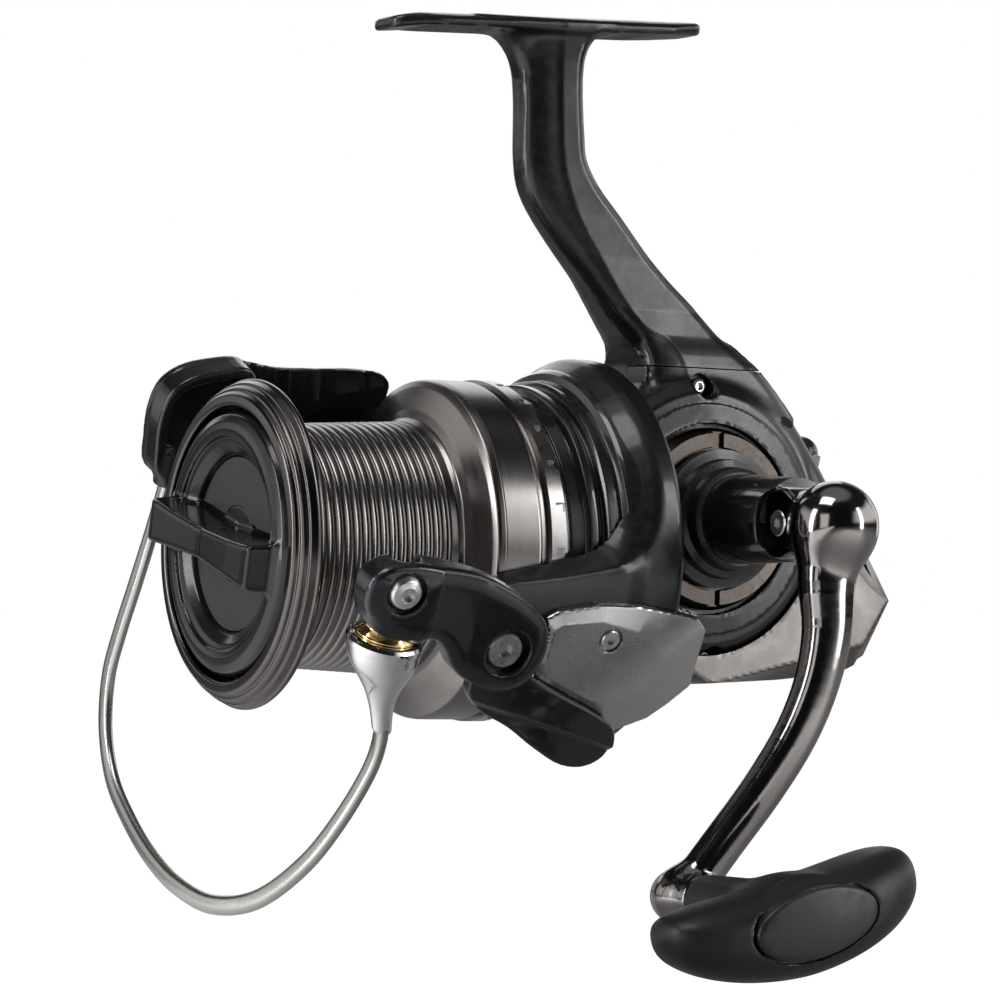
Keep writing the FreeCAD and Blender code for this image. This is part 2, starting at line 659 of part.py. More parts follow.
def oval(label, half_x, half_z, low, high):
    """An elliptical plug along Y, tilted with the cross bar."""
    edge = add("Part::Ellipse", label + "_edge")
    edge.MajorRadius = half_x
    edge.MinorRadius = half_z
    edge.Placement = Placement(Vector(size("knob_x"), low, size("knob_z")),
                               KNOB_TILT * Rotation(Vector(1, 0, 0), -90))
    plug = add("Part::Extrusion", label)
    plug.Base = edge
    plug.DirMode = "Custom"
    plug.Dir = Vector(0, 1, 0)
    plug.LengthFwd = high - low
    plug.Solid = True
    return plug


# T shape: a neck along the spindle and a rounded cross bar
knob_face = size("knob_face_y")
knob_neck = turned("knob_neck", [(74.9, 0), (74.9, 6.6), (80.0, 7.4), (92.0, 8.6), (104.0, 9.6),
                                 (108.0, 9.6), (108.0, 0)], KNOB)
knob_tee = turned("knob_tee", [
    (-33.0, 0), (-32.4, 4.6), (-30.0, 8.0), (-26.0, 10.2), (-19.0, 11.8), (-9.0, 12.6),
    (9.0, 12.6), (19.0, 11.8), (26.0, 10.2), (30.0, 8.0), (32.4, 4.6), (33.0, 0)],
    Placement(Vector(size("knob_x"), knob_face - 13.0, size("knob_z")), KNOB_TILT))
knob_bore = turned("knob_bore", [
    (70, 0), (70, 2.6), (79.95, 2.6), (79.95, 5.0), (84.05, 5.0), (84.05, 2.6), (103.95, 2.6),
    (103.95, 5.0), (108.05, 5.0), (108.05, 3.6), (114, 3.6), (114, 0)], KNOB)
node(cut("handle_knob", join("handle_knob_joined", knob_neck, knob_tee), knob_bore,
         oval("knob_cap_seat", 14.6, 7.4, knob_face - 4.2, knob_face + 2)))
node(oval("knob_cap", 14.35, 7.15, knob_face - 4.1, knob_face))

# ---------------------------------------------------------------- rotor
CUP = [(37.5, 4.6), (37.5, 9.0), (38.6, 13.0), (38.6, 34.0), (34.6, 41.6), ("loop_rear", 43.6),
       ("loop_rear", 46.4), (("loop_rear", 1.6), "loop_rad"), (31.6, "loop_rad"), (37.8, 43.2),
       (38.6, 41.4), (42.2, 41.4), (42.4, 40.6), (46.6, 40.2), (46.6, "rotor_cyl"),
       ("rotor_front", "rotor_cyl"), ("rotor_front", 36.0), (41.8, 36.0), (41.8, 13.0),
       (46.0, 9.0), (46.0, 4.6)]
# the arms are where this side view, in the arm frame, meets the ring below
ARM_SIDE = [(-46, 32), (-40, 30), (-36, 25.5), (-34.4, 22.5), (-28.3, 18.2), (-17.6, 15.7),
            (-7.1, 13.5), (3.2, 11.2), (8.4, 7.6), (10.2, 0), (8, -7.0), (0, -10.6), (-13, -14),
            (-23, -18.6), (-36, -24), (-42, -30), (-46, -32)]
ARM_RING = [("loop_rear", 43.6), ("loop_rear", 46.8), (("loop_rear", 1.2), "arm_out"),
            (84.4, "arm_out"), (86.0, 46.6), (86.0, "arm_in"), (38.8, "arm_in"), (36.0, 43.4)]
SPRING_POCKET = [(-38, -12.4), (-38, -4.2), (-14.5, -4.2), (-14.5, -12.4)]
ARM_SCREW_X, ARM_SCREW_Z = -30.0, 1.0    # arm cover screws, in the arm frame

rotor_joined = join("rotor_joined",
                    turned("rotor_cup", CUP),
                    common("arms_both",
                           turned("arms_ring", ARM_RING),
                           arm_plate("arms_side", ARM_SIDE, -60, 60)))
node(cut("rotor", rotor_joined,
         block("arm_flat_p", (100, 20, 80), on_arm(-50, 48.0, -40)),
         arm_plate("spring_pocket", SPRING_POCKET, 42.6, 50),
         rod("pivot_holes", 2.3, 120.0, on_arm(0, -60, 0, AXIS_TO_Y)),
         rod("cover_a_hole", 1.25, 120.0, on_arm(ARM_SCREW_X, -60, ARM_SCREW_Z, AXIS_TO_Y))))

pinion = turned("pinion_blank", [
    ("pinion_rear", "pinion_bore"), ("pinion_rear", "pinion_tip"), (22.0, "pinion_tip"),
    (22.0, "pinion_stem"), ("pinion_front", "pinion_stem"), ("pinion_front", "pinion_bore")])
cut_gaps(pinion, "pinion_gap", "pinion_gaps", [(8.5, 4.3), (8.5, 7.0), (20.5, 7.0), (20.5, 4.3)],
         width=1.9, count=9)
node(pinion, "pinion_gear")
node(turned("clutch_sleeve", [(31.0, "pinion_stem"), (31.0, 7.5), (37.4, 7.5),
                              (37.4, "pinion_stem")]))
node(cut("rotor_nut",
         hexagon("rotor_nut_hex", 8.6, 4.0, 46.05),
         rod("rotor_nut_bore", "pinion_stem", 6.0, at(45.0))))

# ---------------------------------------------------------------- rotor arm covers
# Cover a, on the +y arm, has a raised face; cover b, on the -y arm, is a plain plate.
COVER_A = [(-11.3, 5.6), (-14.9, 7.6), (-25.3, 9.4), (-36.2, 9.2), (-47.6, 7.4), (-53.4, 6.3),
           (-56.0, 3.4), (-56.0, -11.1), (-51.3, -15.8), (-46.4, -19.8), (-37.3, -23.4),
           (-23.3, -17.6), (-13.4, -12.8)]
COVER_A_FACE = [(-14.3, 4.0), (-16.1, 5.4), (-26.7, 6.1), (-37.1, 2.8), (-42.2, -12.2),
                (-33.5, -14.4), (-29.2, -13.8), (-19.3, -9.5)]
COVER_B = [(-14.0, 7.0), (-26, 9.8), (-46, 8.6), (-46, -14.0), (-36, -18.0), (-24, -14.6),
           (-14.0, -10.0)]
# half section of the space taken by the rotor, cut from both covers
LOOP_CLEAR = [(20, 0), (20, 46.9), (24.0, 46.9), (26.1, 47.7), (26.1, 48.15), (90, 48.15),
              (90, 0)]

cover_a = join("cover_a_joined",
               arm_plate("cover_a_plate", COVER_A, 46.4, 49.6),
               arm_plate("cover_a_face", COVER_A_FACE, 49.5, 50.4))
node(cut("arm_cover_a", cover_a,
         turned("loop_clear", LOOP_CLEAR),
         rod("cover_a_sink", 2.6, 3.0, on_arm(ARM_SCREW_X, 49.2, ARM_SCREW_Z, AXIS_TO_Y)),
         rod("cover_a_screw_hole", 1.25, 20.0,
             on_arm(ARM_SCREW_X, 44, ARM_SCREW_Z, AXIS_TO_Y))))
node(cut("arm_cover_b",
         arm_plate("cover_b_plate", COVER_B, -50.0, -46.4),
         turned("loop_clear_b", LOOP_CLEAR),
         rod("cover_b_sink", 2.6, 3.0, on_arm(ARM_SCREW_X, -48.8, ARM_SCREW_Z, AXIS_TO_MINUS_Y)),
         rod("cover_b_screw_hole", 1.25, 20.0,
             on_arm(ARM_SCREW_X, -60, ARM_SCREW_Z, AXIS_TO_Y))))

# one screw of each kind per arm: label ending, side, direction, shank lengths
ARM_ENDS = [("a", 1, AXIS_TO_Y, 4.8, 4.8), ("b", -1, AXIS_TO_MINUS_Y, 4.4, 3.4)]
node(group("arm_cover_screws", *[
    screw("arm_cover_screw_" + end, on_arm(ARM_SCREW_X, side * 44.45, ARM_SCREW_Z, turn),
          head=(2.4, 1.2), shank=(1.2, cover_length), key=1.2)
    for end, side, turn, cover_length, pivot_length in ARM_ENDS]))
node(group("bail_pivot_screws", *[
    screw("bail_pivot_" + end, on_arm(0, side * 48.05, 0, turn),
          head=(4.4, 1.6), shank=(2.9, pivot_length), key=1.9)
    for end, side, turn, cover_length, pivot_length in ARM_ENDS]))

# bail spring in the +y arm's pocket
node(free("bail_spring", swept_coil(pitch=2.4, height=19.0, radius=1.7, section_rad=0.35),
          on_arm(-35.5, 44.8, -8.3, Z_TO_X)))

# ---------------------------------------------------------------- bail arm and line roller
ROLLER_X, ROLLER_Y = 30.6, 52.2    # roller axis in the arm frame, running across


def on_roller(z):
    return on_arm(ROLLER_X, ROLLER_Y, z, AXIS_TO_Z)


BAIL_ARM = [(38.0, 11.0), (38.2, 17.6), (32.0, 20.6), (13.4, 18.0), (4.0, 12.0), (-6.5, 8.0),
            (-11.2, 1.6), (-12.0, -4.0), (-17.0, -11.6), (-35.6, -25.0), (-33.0, -29.5),
            (-23.7, -31.0), (-13.0, -24.5), (-4.0, -14.5), (4.0, -12.0), (10.8, -6.0),
            (13.6, 2.4), (22.0, 10.0)]
bail_arm = join("bail_arm_joined",
                arm_plate("bail_arm_side", BAIL_ARM, 50.5, 56.0),
                rod("roller_lug", 7.4, 7.4, on_roller(9.9)))
node(cut("bail_arm", bail_arm,
         rod("bail_pivot_bore", 2.96, 20.0, on_arm(0, 45, 0, AXIS_TO_Y)),
         rod("bail_pivot_sink", 4.7, 5.0, on_arm(0, 52.7, 0, AXIS_TO_Y)),
         rod("roller_screw_hole", 1.55, 20.0, on_roller(5.0)),
         rod("roller_screw_sink", 3.3, 6.0, on_roller(16.2))))
node(turned("bail_cone", [
    (2.4, 0), (2.4, 8.6), (1.0, 9.2), (-1.0, 8.8), (-5.0, 6.6), (-9.0, 5.4), (-13.5, 4.6),
    (-17.5, 3.4), (-19.6, 1.6), (-20.2, 0)], on_roller(0)))
node(screw("roller_screw", on_roller(2.5), head=(3.1, 1.4), shank=(1.5, 13.7), key=1.5))
node(turned("line_roller", [
    (2.6, 4.1), (2.6, 7.2), (3.2, 7.4), (4.4, 6.2), (6.2, 5.6), (8.2, 6.2), (9.2, 7.3),
    (9.7, 7.1), (9.7, 4.1)], on_roller(0)))
node(turned("roller_bearing", [(2.8, 1.56), (2.8, 4.08), (9.5, 4.08), (9.5, 1.56)],
            on_roller(0)))

# ---------------------------------------------------------------- bail wire
# centre line (x, y, z) in the arm frame, from the cone round to the lever
BAIL_WIRE = [
    (29.0, 53.0, -17.0), (26.6, 53.6, -22.0), (27.0, 54.0, -30.0), (31.0, 53.6, -43.0),
    (36.0, 51.0, -56.5), (42.0, 43.5, -70.0), (47.0, 33.0, -77.0), (50.0, 20.0, -79.3),
    (51.0, 6.0, -79.4), (51.0, -9.0, -77.6), (50.5, -23.5, -73.8), (49.6, -34.6, -65.4),
    (48.8, -40.4, -54.0), (47.6, -41.8, -43.0), (46.0, -42.6, -31.0), (44.2, -43.8, -18.0),
    (42.6, -45.2, -4.0), (42.3, -45.6, 2.0)]
WIRE_WIDTH = 2.8


def bail_wire():
    curve = Part.BSplineCurve()
    curve.interpolate([Vector(*point) for point in BAIL_WIRE])
    path = Part.Wire([curve.toShape()])
    start, following = BAIL_WIRE[:2]
    tangent = [following[i] - start[i] for i in range(3)]
    section = oval_wire(start, tangent, (0, 1, 0), WIRE_WIDTH, WIRE_WIDTH)
    return free("bail_wire", path.makePipeShell([section], True, True), ARM)


node(bail_wire())

# ---------------------------------------------------------------- bail lever on the -y arm
LEVER_SIDE = [(46.6, 1.0), (48.2, 6.7), (48.4, 17.1), (45.2, 21.4), (40.5, 24.0), (27.8, 26.5),
              (13.8, 24.6), (2.0, 15.0), (-8.0, 9.0), (-12.0, 2.0), (-12.0, -5.0),
              (-6.0, -11.0), (4.0, -12.0), (12.0, -8.0), (26.0, -3.0)]
LEVER_TIP = [(46.6, 1.0), (48.2, 6.7), (48.4, 17.1), (45.2, 21.4), (40.5, 24.0), (27.8, 26.5),
             (26.4, 26.2), (23.2, 20.0), (19.6, 10.0), (16.2, 0.0), (15.2, -7.0),
             (26.0, -3.0)]
bail_lever = join("bail_lever_joined",
                  arm_plate("bail_lever_side", LEVER_SIDE, -53.4, -50.3),
                  arm_plate("bail_lever_tip", LEVER_TIP, -50.8, -43.6),
                  rod("bail_lever_boss", 11.4, 2.6, on_arm(0, -51.2, 0, AXIS_TO_Y)))
node(cut("bail_lever", bail_lever,
         turned("lever_inner_clear", [(70, 0), (70, 41.2), (140, 41.2), (140, 0)]),
         rod("lever_bore_b", 2.96, 20.0, on_arm(0, -65, 0, AXIS_TO_Y)),
         rod("lever_sink_b", 4.7, 5.0, on_arm(0, -56.3, 0, AXIS_TO_Y))))

# ---------------------------------------------------------------- main shaft and slider
node(turned("main_shaft", [("shaft_rear", 0), ("shaft_rear", "shaft_rad"),
                           ("shaft_front", "shaft_rad"), ("shaft_front", 0)]))
pawl_x = size("slider_rear") + size("slider_len") / 2
node(cut("slider_block",
         block("slider_core", ("slider_len", 14.6, 11.3), at(size("slider_rear"), -3.4, -8.0)),
         rod("slider_main_bore", "shaft_rad", 20.0, at(-40)),
         rod("slider_rod_bore", 1.5, 20.0, at(-40, size("rod_y"), size("rod_z"))),
         rod("slider_pawl_bore", 2.2, 8.0,
             Placement(Vector(pawl_x, size("worm_y"), -9.0), AXIS_TO_Z))))
node(turned("slider_pawl", [(-8.6, 0), (-8.6, 1.2), (-7.6, 2.2), (-4.4, 2.2), (-4.4, 0)],
            Placement(Vector(pawl_x, size("worm_y"), 0), AXIS_TO_Z)))

# ---------------------------------------------------------------- spool
SPOOL = [(62.0, 4.6), (62.0, 8.6), (81.0, 8.6), (81.0, 12.0), (90.0, 12.0), (98.0, 12.0),
         (98.0, 25.0), ("drum_rear", 26.6), (70.2, "skirt_in"), ("skirt_rear", "skirt_in"),
         ("skirt_rear", 39.5), (59.4, 39.5), (59.4, "skirt_rad"), (69.3, "skirt_rad"),
         (70.9, 40.0), (73.0, 33.4), (75.0, 31.4), ("drum_rear", "drum_rad_rear"),
         ("drum_front", "drum_rad_front"), (113.0, 29.6), (114.9, 37.4), (115.4, "lip_rad"),
         (116.4, "lip_rad"), (116.4, 37.8), (118.4, 37.4), (118.4, 36.8), (120.2, 36.2),
         (120.2, 35.6), ("lip_front", 34.6), ("lip_front", 32.1), (115.6, 32.1),
         (115.6, 19.2), (103.4, 19.2), (103.4, 4.6)]
RIB_GAP = [(78.0, 31.5), (77.5, 31.5), (78.35, 29.6), (79.2, 31.5)]


def ribbed_spool():
    body = turned("spool_blank", SPOOL)
    doc.recompute()
    sketch = sketch_on(body, "XY_Plane", "rib_gap")
    outline(sketch, RIB_GAP)
    groove = body.newObject("PartDesign::Groove", "rib_gap_cut")
    groove.Profile = sketch
    groove.ReferenceAxis = (sketch, ["H_Axis"])
    groove.Angle = 360.0
    pattern = body.newObject("PartDesign::LinearPattern", "rib_gaps")
    pattern.Originals = [groove]
    pattern.Direction = (origin_feature(body, "X_Axis"), [""])
    pattern.Length = size("rib_pitch") * (size("rib_count") - 1)
    pattern.setExpression("Length", "Dims.rib_pitch * (Dims.rib_count - 1)")
    pattern.Occurrences = int(size("rib_count"))
    body.Tip = pattern
    return body


node(ribbed_spool(), "spool")

click_ring = turned("click_ring_blank", [("ring_rear", 38.65), ("ring_rear", "ring_rad"),
                                         (57.3, "ring_rad"), (57.45, 39.6), (57.45, 38.65)])
cut_gaps(click_ring, "notch", "notches", [(52.0, 39.9), (52.0, 42.0), (55.8, 42.0), (55.8, 39.9)],
         width=2.2, count=int(size("ring_notches")))
node(click_ring, "click_ring")
node(turned("spool_bush", [(62.2, "pinion_bore"), (62.2, 4.55), (103.2, 4.55),
                           (103.2, "pinion_bore")]))


def washer(label, rear, thickness, bore, outer):
    front = rear + thickness
    return turned(label, [(rear, bore), (rear, outer), (front, outer), (front, bore)])


# drag stack: washers and discs in turn, held by a wire ring
node(group("drag_washers", *[washer("drag_washer_%d" % k, rear, 1.0, 6.0, 18.6)
                             for k, rear in enumerate((103.5, 105.9, 108.3))]))
node(group("drag_discs", *[washer("drag_disc_%d" % k, rear, 1.3, 2.6, 18.8)
                           for k, rear in enumerate((104.55, 106.95, 109.35))]))
retainer = add("Part::Torus", "drag_retainer")
retainer.Radius1 = 18.2
retainer.Radius2 = 0.7
retainer.Placement = Placement(Vector(111.5, 0, 0), Z_TO_X)
node(retainer)

# line clip on the skirt, drawn at the top and turned about the shaft
LINE_CLIP = [(61.4, 40.62), (61.4, 41.0), (62.2, 41.25), (66.2, 41.3), (68.0, 41.2),
             (68.0, 40.95), (65.8, 40.98), (63.2, 40.9), (63.0, 40.62)]
node(plate("line_clip_side", LINE_CLIP, -2.2, 2.2,
           Placement(Vector(0, 0, 0), Rotation(Vector(1, 0, 0), 150))), "line_clip")

# ---------------------------------------------------------------- drag knob
DRAG_KNOB = [(112.6, 5.4), (112.6, 8.6), (116.2, 10.0), (116.2, "dknob_rad"),
             (120.6, "dknob_rad"), (121.6, 30.4), (122.3, 28.6), (122.4, 24.9), (121.2, 24.5),
             (120.0, 20.9), (118.0, "dknob_disc"), (117.6, "dknob_disc"), (117.6, 5.4)]
# front view of the grip bar, (y, z)
GRIP_BAR = [("-bar_half", -5.7), (-14.0, -4.6), (0.0, -4.2), (14.0, -4.6), ("bar_half", -5.7),
            ("bar_half", 5.7), (14.0, 4.6), (0.0, 4.2), (-14.0, 4.6), ("-bar_half", 5.7)]
BAR_REAR = 117.0
BAR_TURN = Placement(Vector(0, 0, 0), Rotation(Vector(1, 0, 0), size("bar_angle")))

drag_knob = join("drag_knob_joined",
                 turned("drag_knob_turn", DRAG_KNOB),
                 front_pad("knob_bar", GRIP_BAR, BAR_REAR, ("bar_front", -BAR_REAR), BAR_TURN),
                 turned("knob_centre", [(BAR_REAR, 0), (BAR_REAR, 9.0), (121.0, 9.0),
                                        (121.0, 0)]))
node(cut("drag_knob", drag_knob,
         hexagon("drag_nut_seat", 5.6, 8.5, 112.0),
         rod("shaft_clear", 2.6, 14.0, at(111.0))))
node(cut("drag_nut",
         hexagon("drag_nut_hex", 5.5, 5.0, 113.6),
         rod("drag_nut_bore", 2.6, 10.0, at(111.0))))

# an inset disc in the knob's face, parted by the bar
node(cut("knob_insets",
         turned("knob_inset_disc", [(117.65, 9.1), (117.65, 20.2), (118.6, 20.2), (118.6, 9.1)]),
         front_pad("knob_bar_clear", [(-40.0, -6.2), (40.0, -6.2), (40.0, 6.2), (-40.0, 6.2)],
                   110.0, 30.0, BAR_TURN)))

# ---------------------------------------------------------------- worm shaft
# It lies under the main shaft and has a helical groove.
WORM = at(0, size("worm_y"), size("worm_z"))
worm_blank = turned("worm_blank", [
    (-49.0, 0), (-49.0, 2.0), (-43.5, 2.0), (-43.5, "worm_rad"), (8.0, "worm_rad"), (8.0, 2.0),
    (22.2, 2.0), (22.2, 0)], WORM)
worm_groove = swept_coil(pitch=10.0, height=43.0, radius=size("worm_rad"), section_rad=0.8)
node(cut("worm_shaft", worm_blank,
         free("worm_groove", worm_groove, WORM * Placement(Vector(-42.4, 0, 0), Z_TO_X))))

worm_gear = turned("worm_gear_blank", [(12.0, 2.0), (12.0, 7.15), (16.0, 7.15), (16.0, 2.0)],
                   WORM)
cut_gaps(worm_gear, "worm_gear_gap", "worm_gear_gaps",
         [(11.5, 5.9), (11.5, 8.0), (16.5, 8.0), (16.5, 5.9)], width=1.7, count=12)
node(worm_gear, "worm_gear")

doc.recompute()

# ---------------------------------------------------------------- checks and export
failed = [obj.Label for obj in doc.Objects if "Invalid" in obj.State or "Error" in obj.State]
if failed:
    raise RuntimeError("failed objects: %s" % failed)
names = [obj.Label for obj in nodes]
if len(set(names)) != len(names):
    raise RuntimeError("repeated names: %s" % sorted(n for n in names if names.count(n) > 1))
for obj in nodes:
    if obj.Shape.isNull() or not obj.Shape.isValid() or not obj.Shape.Solids:
        raise RuntimeError("bad shape: %s" % obj.Label)
os.makedirs("parts", exist_ok=True)
for obj in nodes:
    obj.Shape.exportStep("parts/%s.step" % obj.Label)
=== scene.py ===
"""Spinning reel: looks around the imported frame. Lengths below are in millimetres, in the row frame, and become metres in the meshes."""
import math

import bpy
import numpy as np
from mathutils import Matrix, Vector

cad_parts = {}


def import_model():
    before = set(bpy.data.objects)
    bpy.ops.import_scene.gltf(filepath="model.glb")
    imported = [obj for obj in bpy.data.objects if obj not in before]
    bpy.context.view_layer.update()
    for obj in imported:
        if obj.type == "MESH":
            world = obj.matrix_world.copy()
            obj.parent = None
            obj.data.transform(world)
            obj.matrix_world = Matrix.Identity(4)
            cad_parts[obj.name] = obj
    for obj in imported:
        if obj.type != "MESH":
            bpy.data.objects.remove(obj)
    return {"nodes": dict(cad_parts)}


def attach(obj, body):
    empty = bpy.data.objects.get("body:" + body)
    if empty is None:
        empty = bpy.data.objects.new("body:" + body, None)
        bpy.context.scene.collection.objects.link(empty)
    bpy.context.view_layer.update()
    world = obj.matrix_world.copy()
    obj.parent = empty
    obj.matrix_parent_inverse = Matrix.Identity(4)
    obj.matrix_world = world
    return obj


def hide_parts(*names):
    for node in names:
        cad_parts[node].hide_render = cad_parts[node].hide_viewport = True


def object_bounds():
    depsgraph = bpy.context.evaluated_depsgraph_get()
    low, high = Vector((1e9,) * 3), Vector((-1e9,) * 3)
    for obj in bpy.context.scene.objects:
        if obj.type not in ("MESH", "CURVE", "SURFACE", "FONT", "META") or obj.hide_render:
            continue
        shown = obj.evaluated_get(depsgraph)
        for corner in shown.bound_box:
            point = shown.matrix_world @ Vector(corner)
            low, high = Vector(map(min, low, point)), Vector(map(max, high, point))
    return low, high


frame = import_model()
CAD_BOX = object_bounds()
NODES = frame["nodes"]
MM = 0.001
rad = math.radians
PHI = rad(-24.6)
AV = np.array([0.0, math.cos(PHI), math.sin(PHI)])      # outwards along the crank-side rotor arm
BV = np.array([0.0, -math.sin(PHI), math.cos(PHI)])     # across the arm
PX = 74.0                                               # bail pivot along the shaft
CZ = 9.3                                                # crank axis above the shaft


# ------------------------------------------------------------------ planar shapes
def seg_dist2(px, py, ax, ay, bx, by):
    ex, ey = bx - ax, by - ay
    wx, wy = px - ax, py - ay
    t = np.clip((wx * ex + wy * ey) / max(ex * ex + ey * ey, 1e-12), 0, 1)
    dx, dy = wx - ex * t, wy - ey * t
    return dx * dx + dy * dy


def poly2(px, py, pts):
    """Signed distance to a closed outline, negative inside."""
    d = np.full(px.shape, 1e9)
    inside = np.zeros(px.shape, bool)
    n = len(pts)
    for i in range(n):
        ax, ay = pts[i]
        bx, by = pts[(i + 1) % n]
        d = np.minimum(d, seg_dist2(px, py, ax, ay, bx, by))
        if ay != by:
            c = ((ay <= py) & (by > py)) | ((by <= py) & (ay > py))
            inside ^= c & (px < ax + (py - ay) * ((bx - ax) / (by - ay)))
    return np.where(inside, -1.0, 1.0) * np.sqrt(d)


def line2(px, py, pts):
    """Distance to an open polyline."""
    d = np.full(px.shape, 1e9)
    for i in range(len(pts) - 1):
        d = np.minimum(d, seg_dist2(px, py, *pts[i], *pts[i + 1]))
    return np.sqrt(d)


def rounded(pts, r, steps=5):
    """A closed outline with arcs in its corners; r is one radius or one per corner."""
    n = len(pts)
    rr = r if isinstance(r, (list, tuple)) else [r] * n
    out = []
    for i in range(n):
        p0, p1, p2 = np.array(pts[i - 1], float), np.array(pts[i], float), np.array(pts[(i + 1) % n], float)
        a, b = p0 - p1, p2 - p1
        la, lb = np.linalg.norm(a), np.linalg.norm(b)
        a, b = a / la, b / lb
        cosw = float(np.clip(a @ b, -1, 1))
        w = math.acos(cosw)
        if rr[i] <= 0 or w > math.pi - 0.03:
            out.append(tuple(p1))
            continue
        t = min(rr[i] / math.tan(w / 2), 0.49 * la, 0.49 * lb)
        q0, q2 = p1 + a * t, p1 + b * t
        for k in range(steps + 1):
            s = k / steps
            out.append(tuple(q0 * (1 - s) ** 2 + p1 * 2 * s * (1 - s) + q2 * s ** 2))
    return out


def catmull(pts, per=6, closed=False):
    """A smooth curve through points of any dimension."""
    p = [np.array(q, float) for q in pts]
    n = len(p)
    out = []
    last = n if closed else n - 1
    for i in range(last):
        if closed:
            a, b, c, d = p[i - 1], p[i], p[(i + 1) % n], p[(i + 2) % n]
        else:
            a, b, c, d = p[max(i - 1, 0)], p[i], p[i + 1], p[min(i + 2, n - 1)]
        t0 = 0.0
        t1 = t0 + max(np.linalg.norm(b - a), 1e-6) ** 0.5
        t2 = t1 + max(np.linalg.norm(c - b), 1e-6) ** 0.5
        t3 = t2 + max(np.linalg.norm(d - c), 1e-6) ** 0.5
        for k in range(per):
            t = t1 + (t2 - t1) * k / per
            if i == 0 and not closed:
                m1 = (c - b) / (t2 - t1)
            else:
                m1 = (c - b) / (t2 - t1) - (c - a) / (t2 - t0) + (b - a) / (t1 - t0)
            if i == last - 1 and not closed:
                m2 = (c - b) / (t2 - t1)
            else:
                m2 = (d - c) / (t3 - t2) - (d - b) / (t3 - t1) + (c - b) / (t2 - t1)
            h = t2 - t1
            s = (t - t1) / h
            out.append((2 * s ** 3 - 3 * s ** 2 + 1) * b + (s ** 3 - 2 * s ** 2 + s) * h * m1 + (-2 * s ** 3 + 3 * s ** 2) * c + (s ** 3 - s ** 2) * h * m2)
    if not closed:
        out.append(p[-1])
    return [tuple(q) for q in out]


class Table:
    """A planar function sampled once and read back by interpolation."""

    def __init__(self, fn, lo, hi, step=0.25):
        self.lo, self.step = np.array(lo, float), step
        self.n = [int(math.ceil((hi[i] - lo[i]) / step)) + 1 for i in (0, 1)]
        gx, gy = np.meshgrid(lo[0] + step * np.arange(self.n[0]), lo[1] + step * np.arange(self.n[1]), indexing="ij")
        self.v = fn(gx, gy)

    def __call__(self, x, y):
        fx = np.clip((x - self.lo[0]) / self.step, 0, self.n[0] - 1.001)
        fy = np.clip((y - self.lo[1]) / self.step, 0, self.n[1] - 1.001)
        i, j = fx.astype(np.int32), fy.astype(np.int32)
        s, t = fx - i, fy - j
        v = self.v
        return (v[i, j] * (1 - s) + v[i + 1, j] * s) * (1 - t) + (v[i, j + 1] * (1 - s) + v[i + 1, j + 1] * s) * t


def poly_table(pts, pad=12.0, step=0.25):
    q = np.array(pts)
    lo, hi = q.min(0) - pad, q.max(0) + pad
    return Table(lambda a, b: poly2(a, b, pts), lo, hi, step)


# ------------------------------------------------------------------ solid shapes as distance fields
def smin(a, b, k):
    h = np.maximum(k - np.abs(a - b), 0.0) / k
    return np.minimum(a, b) - h * h * k * 0.25


def smax(a, b, k):
    return -smin(-a, -b, k)


def box3(x, y, z, c, half, r=0.0):
    qx, qy, qz = np.abs(x - c[0]) - half[0] + r, np.abs(y - c[1]) - half[1] + r, np.abs(z - c[2]) - half[2] + r
    out = np.sqrt(np.maximum(qx, 0) ** 2 + np.maximum(qy, 0) ** 2 + np.maximum(qz, 0) ** 2)
    return out + np.minimum(np.maximum(qx, np.maximum(qy, qz)), 0) - r


def ball(x, y, z, c, r):
    return np.sqrt((x - c[0]) ** 2 + (y - c[1]) ** 2 + (z - c[2]) ** 2) - r


def cyl(h, r, lo, hi, radius, k=0.0):
    """Round bar from its own coordinates: h along, r from the axis; k rounds its rims."""
    a = np.maximum(h - hi, lo - h)
    b = r - radius
    return smax(a, b, k) if k > 0 else np.maximum(a, b)


